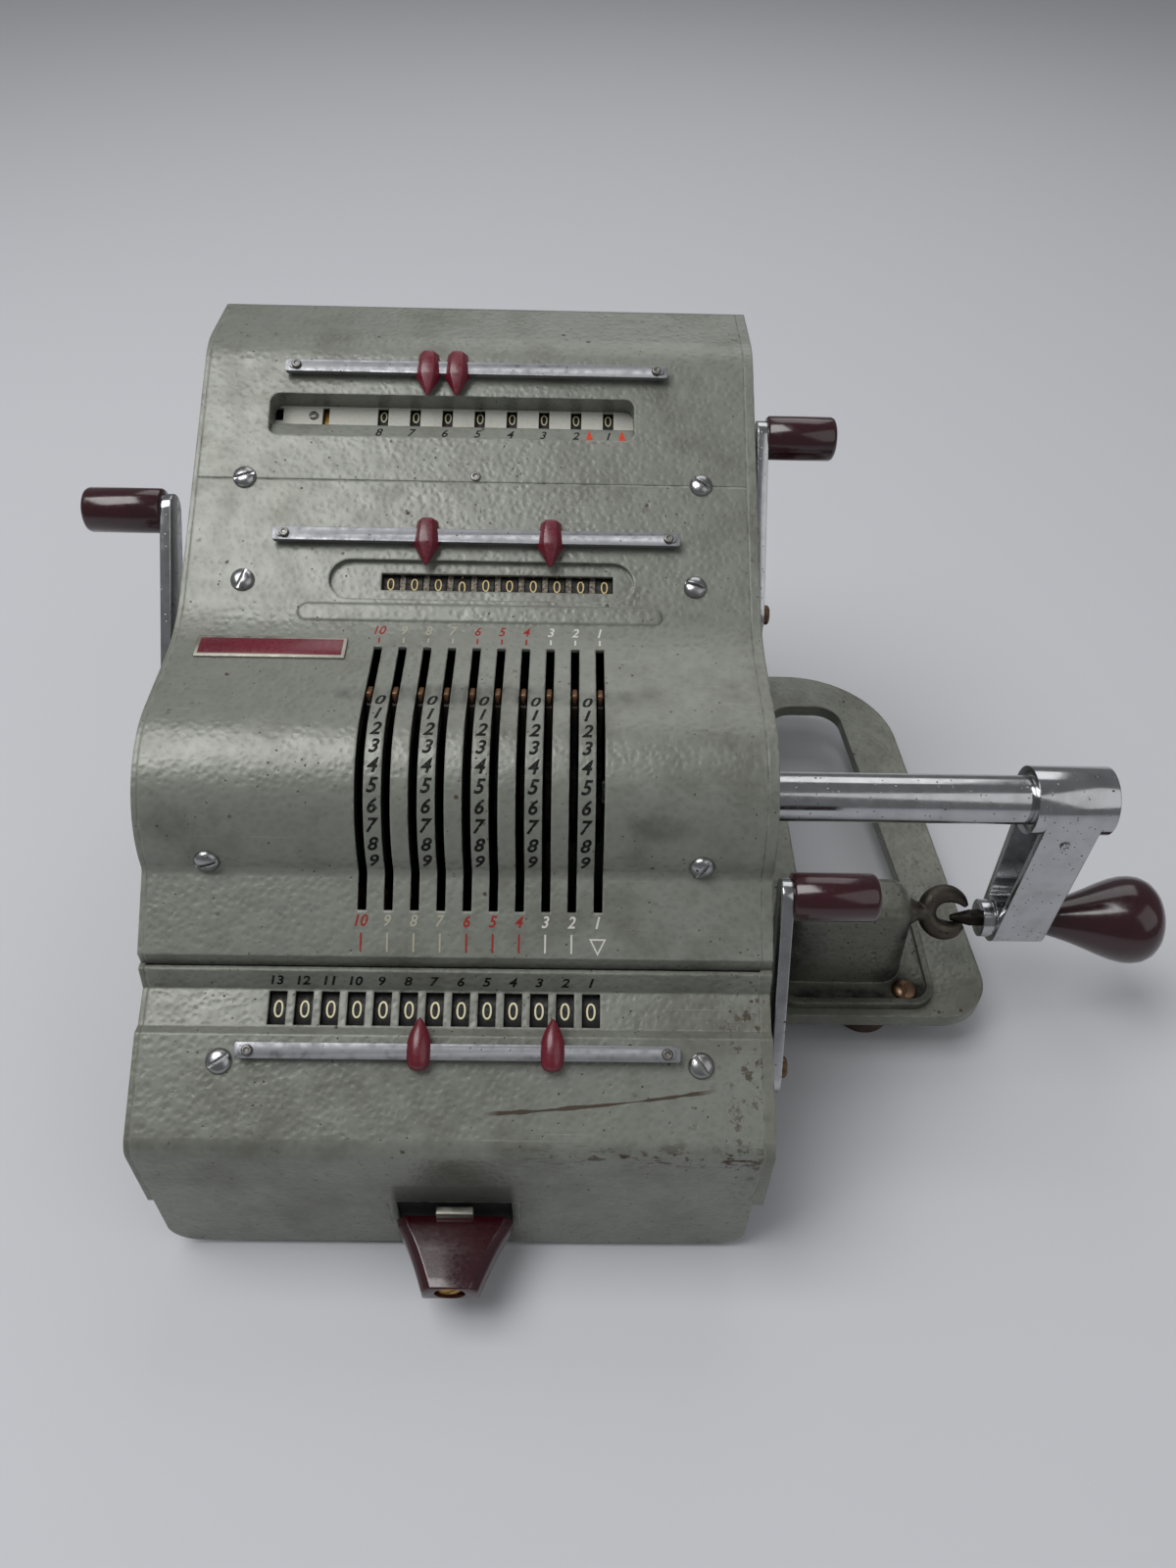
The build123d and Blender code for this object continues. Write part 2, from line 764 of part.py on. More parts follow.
def crank_arm():
    """Hub, hollow arm and boss in one casting; the hollow faces the machine."""
    hub_low_x = right_face_x + tube_length
    boss = (0, -crank_length)
    arm = slab(link((0, 0), hub_radius, boss, crank_boss_radius), boss_low_x, boss_high_x)
    hollow = link((0, 0), hub_radius - crank_wall, boss, crank_boss_radius - crank_wall)
    hollow -= Circle(hub_radius) + Pos(*boss) * Circle(crank_boss_radius)
    arm -= slab(hollow, boss_low_x - 1, boss_high_x - crank_wall)
    arm += x_rod(hub_radius, hub_low_x, crank_end_x)
    arm += x_rod(crank_collar_radius, boss_low_x - crank_collar_length, boss_low_x + crank_wall, boss)
    arm -= x_rod(tube_radius, hub_low_x - 1, hub_low_x + hub_length / 2)
    return arm - x_rod(lock_pin_radius + running_gap, boss_low_x - 2 * crank_collar_length, boss_high_x + 1, boss)


def crank_knob():
    """A pear-shaped handle, turned about the lock pin."""
    swell = (knob_swell[0] * knob_length, knob_swell[1] * knob_radius)
    widest = (knob_widest * knob_length, knob_radius)
    brow_point = (knob_brow[0] * knob_length, knob_brow[1] * knob_radius)
    tip = (knob_length, knob_tip_radius)
    edges = [
        Line((0, 0), (0, knob_neck_radius)),
        Line((0, knob_neck_radius), swell),
        ThreePointArc(swell, widest, brow_point),
        Line(brow_point, tip),
        Line(tip, (knob_length, 0)),
        Line((knob_length, 0), (0, 0)),
    ]
    profile = make_face(Curve() + edges)
    profile = fillet(profile.vertices().sort_by_distance(Vector(*brow_point))[0], knob_neck_radius)
    knob = Pos(knob_low_x, 0, -crank_length) * revolve(profile, Axis.X)
    bore_end = knob_low_x + knob_length / 2 + side_gap
    return knob - x_rod(lock_pin_radius + running_gap, knob_low_x - 1, bore_end, (0, -crank_length))


def lock_pin():
    """The pin runs from its tapered tip through the arm into the knob."""
    tip_x = boss_low_x - lock_pin_reach
    body = x_rod(lock_pin_radius, tip_x + lock_pin_taper, knob_low_x + knob_length / 2, (0, -crank_length))
    base = body.faces().sort_by(Axis.X)[0]
    spread = degrees(atan2(lock_pin_radius - lock_pin_tip_radius, lock_pin_taper))
    return body + extrude(base, lock_pin_taper, taper=spread)


# ---- clearing levers
def lever_end(pivot, length, lean):
    return (pivot[0] + length * cos(radians(lean)), pivot[1] + length * sin(radians(lean)))


def lever_arm(pivot, length, lean, face_x, standoff, side):
    """A flat arm whose stub turns in the side plate; side is -1 on the left."""
    near = face_x + side * standoff
    far = near + side * arm_thickness
    outline = link(pivot, arm_hub_radius, lever_end(pivot, length, lean), arm_tip_radius)
    arm = slab(outline, min(near, far), max(near, far))
    stub_end = face_x - side * 2 * right_plate_thickness
    stub = x_rod(arm_pivot_radius, min(stub_end, far), max(stub_end, far), pivot)
    collar_start = face_x + side * side_gap
    collar = x_rod(arm_collar_radius, min(collar_start, far), max(collar_start, far), pivot)
    return arm + stub + collar


def lever_grip(pivot, length, lean, face_x, standoff, side, grip_length):
    near = face_x + side * (standoff + arm_thickness)
    far = near + side * grip_length
    grip = x_prism(grip_radius, min(near, far), max(near, far), lever_end(pivot, length, lean))
    end = grip.faces().sort_by(Axis.X)[-1 if side > 0 else 0]
    return chamfer(end.edges(), grip_chamfer)


result_pivot = (lip_front_y - result_pivot_drop[0], lip_front_z - result_pivot_drop[1])
left_lever = (left_pivot, arm_length, arm_lean, left_face_x, left_arm_standoff, -1)
counter_lever = (counter_pivot, arm_length, arm_lean, right_face_x, arm_gap, 1)
result_lever = (result_pivot, result_arm_length, result_arm_lean, right_face_x, result_arm_standoff, 1)


# ---- carriage
def carriage_outline():
    """Side view of the carriage in front of the drum."""
    face = make_face(Polyline(
        band_top,
        band_foot,
        window_foot,
        brow,
        (front_y, front_top_z),
        (front_y, carriage_low_z),
        (body_front_y, carriage_low_z),
        (body_front_y, band_top[1]),
        close=True,
    ))
    corner = face.vertices().sort_by_distance(Vector(front_y, front_top_z))[0]
    return fillet(corner, carriage_edge_radius)


def carriage_cover():
    outer = carriage_outline()
    shell = slab(outer - offset(outer, -sheet, kind=Kind.INTERSECTION), -half_width, half_width)
    low = carriage_low_z
    shell -= yz_box((front_y + sheet, low - 1), (body_front_y + 1, low + sheet), half_width + 1)
    shell -= yz_box((body_front_y - sheet, low - 1), (body_front_y + 1, band_top[1] + 1), half_width + 1)
    top_low = (band_top[0] + sheet, band_top[1] - 2 * sheet)
    shell -= yz_box(top_low, (body_front_y + 1, band_top[1] + 1), half_width + 1)
    corners = shell.edges().filter_by(Axis.Y).group_by(Axis.Z)[0]
    shell = fillet(corners, carriage_corner_radius)
    for number in range(result_count):
        window = Pos(result_first_x - number * result_pitch, 0, 0) * Rectangle(*result_window)
        shell -= extrude(window_plane() * window, 3 * sheet, both=True)
    opening_z = shift_top_z - shift_height / 2 + knob_opening_rise / 2
    return shell - Pos(0, front_y, opening_z) * Box(knob_opening[0], 4 * sheet, knob_opening[1])


def end_plate_outline():
    """The end plates pass under the fold of the lip and over the guide rail."""
    under_lip = yz_face(
        (lip_front_y - side_gap, lip_front_z - lip_fold - side_gap), (body_front_y + sheet, lip_front_z)
    )
    over_rail = yz_face(
        (front_y - sheet, carriage_low_z - sheet), (body_front_y + sheet, base_top_z + rail_height + rail_gap)
    )
    behind = yz_face((body_front_y - side_gap, carriage_low_z), (body_front_y + sheet, lip_front_z))
    return carriage_outline() - under_lip - over_rail - behind


def carriage_frame():
    """End plates, cross beam, guide shoes and the result shaft."""
    outline = end_plate_outline()
    left = slab(outline, left_face_x, -half_width)
    right = slab(outline, half_width, right_face_x)
    right -= x_rod(arm_pivot_radius + running_gap, half_width - 1, right_face_x + 1, result_pivot)
    shaft = x_rod(digit_shaft_radius, -half_width, half_width, result_axis)
    shoe_low_z = base_top_z + rail_gap
    shoe_top_z = base_top_z + rail_height + rail_gap + shoe_wall
    shoe_half = rail_width / 2 + rail_gap + shoe_wall
    beam_low = (rail_y - shoe_half, shoe_top_z - shoe_wall)
    beam_high = (rail_y - shoe_half + beam_thickness, shoe_top_z + 2 * shoe_wall)
    frame = left + right + shaft + yz_box(beam_low, beam_high, half_width)
    for number in range(2):
        block = yz_box((rail_y - shoe_half, shoe_low_z), (rail_y + shoe_half, shoe_top_z), shoe_length / 2)
        groove_half = rail_width / 2 + rail_gap
        groove_top = base_top_z + rail_height + rail_gap
        block -= yz_box((rail_y - groove_half, shoe_low_z - 1), (rail_y + groove_half, groove_top), shoe_length)
        frame += Pos(shoe_low_x + number * shoe_spacing, 0, 0) * block
    bracket_low_z = shift_top_z + rail_gap
    bracket_front = shift_pivot_y - shift_ring_radius
    bracket = yz_box((bracket_front, bracket_low_z), (bracket_front + shoe_wall, beam_high[1]), beam_thickness)
    web = yz_box((bracket_front, beam_low[1]), (beam_low[0] + 1, beam_high[1]), beam_thickness)
    pin_low_z = shift_top_z - shift_height
    pin = Pos(0, shift_pivot_y, pin_low_z) * extrude(Circle(shift_pin_radius), bracket_low_z + 1 - pin_low_z)
    return frame + bracket + web + pin


def shift_knob():
    """A waisted handle on the carriage front, turning on an upright pin."""
    rear = front_y - sheet
    front = rear - shift_length
    wide = shift_rear_width / 2
    narrow = shift_front_width / 2
    middle = ((wide + narrow) / 2 - shift_waist, (rear + front) / 2)
    edges = [
        Line((-wide, rear), (wide, rear)),
        ThreePointArc((wide, rear), middle, (narrow, front)),
        Line((narrow, front), (-narrow, front)),
        ThreePointArc((-narrow, front), (-middle[0], middle[1]), (-wide, rear)),
    ]
    low_z = shift_top_z - shift_height
    handle = extrude(Pos(0, 0, low_z) * make_face(Curve() + edges), shift_height)
    handle = fillet(handle.edges().filter_by(GeomType.LINE).filter_by(Axis.X), shift_edge_radius)
    shank_height = shift_height - 2 * shift_edge_radius
    shank = Pos(0, (rear + shift_pivot_y) / 2, low_z + shift_height / 2) * Box(
        shift_ring_radius + shift_pin_radius, shift_pivot_y - rear, shank_height
    )
    ring = Pos(0, shift_pivot_y, low_z + shift_edge_radius) * extrude(Circle(shift_ring_radius), shank_height)
    bore = Pos(0, shift_pivot_y, low_z) * extrude(Circle(shift_pin_radius + running_gap), shift_height)
    return handle + shank + ring - bore


# ---- decimal markers
def marker_rail(plane, rail):
    """A flat bar held off the sheet by a rivet at each end."""
    length, middle_x = rail
    width, thickness = rail_bar
    middle = plane * Pos(middle_x, 0, 0)
    outline = RectangleRounded(length, width, rail_end_radius)
    bar = middle * Pos(0, 0, rail_raise) * extrude(outline, thickness)
    for side in (-1, 1):
        rivet = extrude(Circle(rail_rivet_radius), rail_raise + thickness + rail_rivet_head)
        bar += middle * Pos(side * (length / 2 - rail_rivet_inset), 0, 0) * rivet
    return bar


def marker(plane, x, tip):
    """A pointed slider round its rail; tip is +1 where it points up the slope."""
    half = marker_width / 2
    end = tip * marker_length / 2
    shoulder = tip * (marker_length / 2 - marker_width / 2)
    outline = Polygon(
        (-half, -end),
        (half, -end),
        (half, shoulder),
        (half / 3, end),
        (-half / 3, end),
        (-half, shoulder),
        align=None,
    )
    body = extrude(outline, marker_height, dir=(0, 0, 1))
    body = chamfer(body.faces().sort_by(Axis.Z)[-1].edges(), marker_chamfer)
    width, thickness = rail_bar
    groove = Box(2 * marker_width, width + 2 * marker_slot_gap, thickness + 2 * marker_slot_gap)
    place = plane * Pos(x, tip * marker_shift, rail_raise - sheet)
    return place * body - plane * Pos(x, 0, rail_raise + thickness / 2) * groove


def marker_rails():
    counter = marker_rail(slope_plane(counter_rail_y), counter_rail)
    setting = marker_rail(slope_plane(setting_rail_y), setting_rail)
    return Compound([counter, setting])


# ---- every node
def all_nodes():
    counter_place = slope_plane(counter_rail_y)
    setting_place = slope_plane(setting_rail_y)
    result_place = carriage_plane(result_rail_drop)
    nodes = {
        "base_casting": base_casting(),
        "rubber_feet": rubber_feet(),
        "crank_rest": crank_rest(),
        "crank_catch": crank_catch(),
        "rear_cover": rear_cover(),
        "front_cover": front_cover(),
        "side_plate_left": side_plate_left(),
        "side_plate_right": side_plate_right(),
        "counter_plate": counter_plate(),
        "marker_rails": marker_rails(),
        "bearing_frames": bearing_frames(),
        "cross_shafts": cross_shafts(),
        "guide_rail": guide_rail(),
        "crank_shaft": crank_shaft(),
        "pinwheels": pinwheels(),
        "setting_pins": setting_pins(),
        "crank_arm": crank_arm(),
        "crank_knob": crank_knob(),
        "lock_pin": lock_pin(),
        "transfer_gears": transfer_gears(),
        "result_wheels": result_wheels(),
        "counter_wheels": counter_wheels(),
        "left_lever_arm": lever_arm(*left_lever),
        "left_lever_grip": lever_grip(*left_lever, left_grip_length),
        "counter_lever_arm": lever_arm(*counter_lever),
        "counter_lever_grip": lever_grip(*counter_lever, counter_grip_length),
        "result_lever_arm": lever_arm(*result_lever),
        "result_lever_grip": lever_grip(*result_lever, result_grip_length),
        "carriage_cover": carriage_cover(),
        "carriage_frame": carriage_frame(),
        "carriage_marker_rail": marker_rail(result_place, result_rail),
        "shift_knob": shift_knob(),
    }
    for number in range(slot_count):
        nodes[f"setting_lever_{number + 1:02d}"] = setting_lever(number)
        nodes[f"control_wheel_{number + 1:02d}"] = control_wheel(number)
    for number in range(2):
        nodes[f"counter_marker_{number + 1}"] = marker(counter_place, counter_markers[number], -1)
        nodes[f"setting_marker_{number + 1}"] = marker(setting_place, setting_markers[number], -1)
        nodes[f"result_marker_{number + 1}"] = marker(result_place, result_markers[number], 1)
    return nodes


def write_parts():
    os.makedirs("parts", exist_ok=True)
    to_origin = Pos(-origin[0], -origin[1], -origin[2])
    for name, shape in all_nodes().items():
        export_step(to_origin * shape, f"parts/{name}.step")


write_parts()
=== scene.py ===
import json
from math import atan2, cos, pi, radians, sin, sqrt, tan

import bmesh
import bpy
from bpy.props import FloatProperty, FloatVectorProperty, PointerProperty
from mathutils import Matrix, Vector


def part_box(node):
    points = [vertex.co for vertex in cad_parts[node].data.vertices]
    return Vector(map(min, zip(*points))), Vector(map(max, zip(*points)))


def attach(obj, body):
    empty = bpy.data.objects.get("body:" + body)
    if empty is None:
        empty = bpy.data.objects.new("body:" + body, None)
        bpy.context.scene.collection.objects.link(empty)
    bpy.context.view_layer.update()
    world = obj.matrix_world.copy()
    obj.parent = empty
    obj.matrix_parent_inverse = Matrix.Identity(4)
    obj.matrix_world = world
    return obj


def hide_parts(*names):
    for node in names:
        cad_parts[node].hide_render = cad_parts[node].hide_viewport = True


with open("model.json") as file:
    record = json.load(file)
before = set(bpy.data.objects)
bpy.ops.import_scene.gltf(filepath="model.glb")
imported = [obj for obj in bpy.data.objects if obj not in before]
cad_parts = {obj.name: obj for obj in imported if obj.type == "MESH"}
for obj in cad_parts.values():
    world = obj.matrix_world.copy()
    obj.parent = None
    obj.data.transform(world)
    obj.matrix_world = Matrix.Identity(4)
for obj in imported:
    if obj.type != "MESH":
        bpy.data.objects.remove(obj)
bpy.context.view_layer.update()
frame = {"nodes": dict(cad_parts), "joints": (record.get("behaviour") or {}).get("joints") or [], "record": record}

bl_info = {
    "name": "Pinwheel calculator",
    "version": (1, 0, 0),
    "blender": (4, 5, 0),
    "location": "3D View > Sidebar > Calculator",
    "description": "Finishes, dials, screws and handles of a hand-cranked pinwheel calculator",
    "category": "Object",
}

MM = 0.001


def joint_place(name):
    """Where a joint of the frame turns, in metres."""
    for joint in frame["joints"]:
        if joint["name"] == name:
            return Vector(joint["pos_m"])
    raise ValueError(f"the frame has no joint named {name}")


# The drum axis at the middle of the covers: every place below is measured from it, in millimetres.
DRUM = joint_place("crank_turn")
CONTROL_AXIS = joint_place("control_turn_01")
COUNTER_AXIS = joint_place("counter_turn")
RESULT_AXIS = joint_place("result_turn")


def place(x, y, z):
    """A point given in millimetres from the middle of the drum axis."""
    return DRUM + Vector((x, y, z)) * MM


def linear(code):
    """An sRGB hex colour as linear red, green and blue."""
    shares = [int(code[i:i + 2], 16) / 255 for i in (0, 2, 4)]
    return tuple(s / 12.92 if s <= 0.04045 else ((s + 0.055) / 1.055) ** 2.4 for s in shares)


def colour(name, description, code):
    return FloatVectorProperty(name=name, description=description, default=linear(code), size=3,
                               min=0, max=1, subtype="COLOR")


def length(name, description, millimetres):
    return FloatProperty(name=name, description=description, default=millimetres * MM, min=0,
                         unit="LENGTH", subtype="DISTANCE")


class CALC_PG_colours(bpy.types.PropertyGroup):
    enamel: colour("Enamel", "Grey-green hammertone enamel of the covers", "7c7e76")
    enamel_dark: colour("Grimy enamel", "The same enamel where hands and dust have darkened it", "55564a")
    casting: colour("Casting enamel", "Enamel on the rough base and carriage castings", "74766c")
    rust: colour("Rust", "Dark brown specks where the enamel has broken through", "3b2a1c")
    steel: colour("Steel", "Stamped and turned steel", "878581")
    chrome: colour("Chrome", "Chromium plate", "b9babc")
    brass: colour("Brass", "Rubbed brass at the tips of the setting levers", "8f6c50")
    maroon: colour("Maroon plastic", "Moulded maroon grips and knobs", "320a13")
    marker: colour("Marker plastic", "Brighter maroon of the decimal markers", "6a1426")
    wheel: colour("Wheel black", "Black number wheels", "0e0c0a")
    spacer: colour("Dusty spacer", "Speckled collars between the control register's wheels", "857c6e")
    cream: colour("Cream figures", "Figures painted into the number wheels", "e8e0bc")
    plate: colour("Light plate", "Light plate in the counter's well", "a9a79c")
    rubber: colour("Rubber", "Feet", "46372e")
    ink: colour("Black print", "Printed figures", "12110f")
    white_print: colour("White print", "White slot numbers", "cdccc2")
    faded_print: colour("Faded print", "White slot numbers that wear has yellowed", "a3a08f")
    red_print: colour("Red print", "Red slot numbers", "8f2b22")


class CALC_PG_sizes(bpy.types.PropertyGroup):
    screw: length("Cover screw", "Diameter of the cover screws' round heads", 7.0)
    setting_figure: length("Setting figure", "Height of the figures beside the slots", 4.1)
    slot_number: length("Slot number", "Height of the numbers above and below the slots", 3.2)
    window_number: length("Window number", "Height of the numbers over the result windows", 3.2)
    wheel_figure: length("Wheel figure", "Height of the figures on the result wheels", 4.7)
    small_figure: length("Small wheel figure", "Height of the figures on the counter and control wheels", 3.8)
    hammer_grain: length("Hammer grain", "Spacing of the dimples in the enamel", 2.0)


# ---- selecting and editing
def deselect():
    if bpy.context.mode != "OBJECT":
        bpy.ops.object.mode_set(mode="OBJECT")
    bpy.ops.object.select_all(action="DESELECT")


def activate(piece):
    deselect()
    piece.select_set(True)
    bpy.context.view_layer.objects.active = piece


def edit(piece, kind="FACE"):
    """Opens a piece for editing with nothing selected."""
    activate(piece)
    bpy.ops.object.mode_set(mode="EDIT")
    bpy.ops.mesh.select_mode(type=kind)
    bpy.ops.mesh.select_all(action="DESELECT")


def select_where(kind, test):
    """Selects the open piece's faces, edges or vertices whose middle and normal pass a test."""
    mesh = bmesh.from_edit_mesh(bpy.context.edit_object.data)
    mesh.normal_update()
    found = 0
    for element in {"FACE": mesh.faces, "EDGE": mesh.edges, "VERT": mesh.verts}[kind]:
        if kind == "FACE":
            chosen = test(element.calc_center_median(), element.normal)
        elif kind == "EDGE":
            a, b = (vertex.co for vertex in element.verts)
            chosen = test((a + b) / 2, b - a)
        else:
            chosen = test(element.co, element.normal)
        element.select_set(bool(chosen))
        found += bool(chosen)
    mesh.select_flush_mode()
    bmesh.update_edit_mesh(bpy.context.edit_object.data)
    if not found:
        raise RuntimeError(f"nothing to select on {bpy.context.edit_object.name}")


def close_edit():
    bpy.ops.mesh.select_mode(type="FACE")
    bpy.ops.mesh.select_all(action="SELECT")
    bpy.ops.mesh.normals_make_consistent(inside=False)
    bpy.ops.object.mode_set(mode="OBJECT")


def modify(piece, kind, **settings):
    """Adds a modifier and applies it."""
    activate(piece)
    modifier = piece.modifiers.new(kind.title(), kind)
    for name, value in settings.items():
        setattr(modifier, name, value)
    bpy.ops.object.modifier_apply(modifier=modifier.name)


def smooth(piece, angle=35):
    activate(piece)
    bpy.ops.object.shade_smooth_by_angle(angle=radians(angle))


def turned(name, stations, sides=48):
    """A piece turned about +Z from its stations, each a height and a radius in millimetres."""
    deselect()
    height, radius = stations[0]
    bpy.ops.mesh.primitive_circle_add(vertices=sides, radius=radius * MM, fill_type="NGON",
                                      location=(0, 0, height * MM))
    piece = bpy.context.active_object
    piece.name = piece.data.name = name
    bpy.ops.object.transform_apply(location=True, rotation=True, scale=True)
    bpy.ops.object.mode_set(mode="EDIT")
    bpy.ops.mesh.select_mode(type="FACE")
    bpy.ops.mesh.select_all(action="SELECT")
    for (low, narrow), (high, wide) in zip(stations, stations[1:]):
        bpy.ops.mesh.extrude_region_move(TRANSFORM_OT_translate={"value": (0, 0, (high - low) * MM)})
        bpy.ops.transform.resize(value=(wide / narrow, wide / narrow, 1))
    close_edit()
    return piece


def block(name, low, high):
    """A box between two corners, in millimetres."""
    deselect()
    low, high = Vector(low) * MM, Vector(high) * MM
    bpy.ops.mesh.primitive_cube_add(size=1, location=(low + high) / 2, scale=high - low)
    piece = bpy.context.active_object
    piece.name = piece.data.name = name
    bpy.ops.object.transform_apply(location=True, rotation=True, scale=True)
    return piece


def cut(piece, tool):
    """Takes one piece away from another."""
    modify(piece, "BOOLEAN", operation="DIFFERENCE", object=tool, solver="EXACT")
    bpy.data.objects.remove(tool)


def copied(piece, name):
    twin = piece.copy()
    twin.data = piece.data.copy()
    twin.name = twin.data.name = name
    bpy.context.scene.collection.objects.link(twin)
    return twin


def joined(pieces, name):
    deselect()
    for piece in pieces:
        piece.select_set(True)
    bpy.context.view_layer.objects.active = pieces[0]
    if len(pieces) > 1:
        bpy.ops.object.join()
    pieces[0].name = pieces[0].data.name = name
    return pieces[0]


def seat(piece, body, material, matrix=None):
    """Puts a finished piece in its place, gives it its finish and hangs it on its body."""
    if matrix is not None:
        piece.data.transform(matrix)
    piece.data.materials.clear()
    piece.data.materials.append(material)
    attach(piece, body)
    return piece


def axes(origin, x_axis, z_axis):
    """A matrix that puts local x and z along the given directions."""
    z = Vector(z_axis).normalized()
    x = Vector(x_axis)
    x = (x - z * x.dot(z)).normalized()
    y = z.cross(x)
    matrix = Matrix((x, y, z)).transposed().to_4x4()
    matrix.translation = origin
    return matrix


# ---- surfaces of the housing, in millimetres from the drum axis
COVER_RADIUS = 30.6
COVER_TOP = 79.0
SLOPE_ANGLE = radians(30.3)
SLOPE_TOP_Y = 116.3
SLOPE_FOOT_Y = SLOPE_TOP_Y - (COVER_TOP - COVER_RADIUS) / tan(SLOPE_ANGLE)
HOLLOW_RADIUS = 45.0
HOLLOW_START_Y = SLOPE_FOOT_Y - HOLLOW_RADIUS * tan(SLOPE_ANGLE / 2)
LIP_ANGLE = radians(39.1)
# The counter's well: its middle and width, its depth, and its windows' rise above its middle.
COUNTER_WELL_X = -7.25
COUNTER_WELL_Y = 94.85
COUNTER_WELL_WIDTH = 110.9
COUNTER_WELL_DEPTH = 7.0
COUNTER_WINDOW_RISE = 4.3
# The two long edges of its number strip: up the slope from the well's middle, and down from the cover's face.
STRIP_TOP = (-7.1, -1.6)
STRIP_FOOT = (-1.6, -3.0)
# Edges of the carriage's cover as y and z: the brow of its slope, and the band over the result windows.
CARRIAGE_FRONT_Y = -89.0
CARRIAGE_ANGLE = radians(31.1)
BROW = (-63.5, -28.04)
BAND_TOP = (-50.3, -17.64)
BAND_FOOT = (-51.7, -24.34)
SLOT_PITCH = 7.0
FIRST_SLOT_X = 38.15
SLOT_COUNT = 10
# Where the wheels of the three registers stand, counted from the crank's side.
RESULT_PLACES = [36.7 - 7.0 * number for number in range(13)]
COUNTER_PLACES = [40.5 - 10.0 * number for number in range(8)]
CONTROL_PLACES = [39.5 - SLOT_PITCH * number for number in range(10)]


def slope_matrix(x, y, lift=0.0):
    """On the rear slope: local x to the crank side, local y up the slope."""
    z = COVER_RADIUS + (y - SLOPE_FOOT_Y) * tan(SLOPE_ANGLE)
    normal = Vector((0, -sin(SLOPE_ANGLE), cos(SLOPE_ANGLE)))
    return axes(place(x, y, z) + normal * lift * MM, (1, 0, 0), normal)


def hollow_matrix(x, y, lift=0.0):
    """On the top of the drum's cover and the hollow that leads up to the rear slope."""
    out = max(0.0, y - HOLLOW_START_Y)
    rise = sqrt(HOLLOW_RADIUS ** 2 - out ** 2)
    normal = Vector((0, -out, rise)) / HOLLOW_RADIUS
    return axes(place(x, y, COVER_RADIUS + HOLLOW_RADIUS - rise) + normal * lift * MM, (1, 0, 0), normal)


def lip_matrix(x, y, lift=0.0):
    """On the front lip, between the slots' ends and its fold."""
    normal = Vector((0, -sin(LIP_ANGLE), cos(LIP_ANGLE)))
    return axes(place(x, y, (y + COVER_RADIUS) * tan(LIP_ANGLE)) + normal * lift * MM, (1, 0, 0), normal)


def well_matrix(x, up, depth, tilt=0.0):
    """In the counter's well: up its slope from its middle, and down from the cover's face."""
    y = COUNTER_WELL_Y
    return slope_matrix(x, y) @ Matrix.Translation((0, up * MM, depth * MM)) @ Matrix.Rotation(tilt, 4, "X")


def carriage_matrix(x, drop, lift=0.0):
    """On the carriage's slope, a distance below its brow."""
    normal = Vector((0, -sin(CARRIAGE_ANGLE), cos(CARRIAGE_ANGLE)))
    point = place(x, BROW[0] - drop * cos(CARRIAGE_ANGLE), BROW[1] - drop * sin(CARRIAGE_ANGLE))
    return axes(point + normal * lift * MM, (1, 0, 0), normal)


def drum_matrix(x, angle, lift=0.0):
    """On the drum's cover, at an angle from the top towards the front."""
    normal = Vector((0, -sin(radians(angle)), cos(radians(angle))))
    return axes(place(x, 0, 0) + normal * (COVER_RADIUS + lift) * MM, (1, 0, 0), normal)


# ---- materials
FINISHES = {}

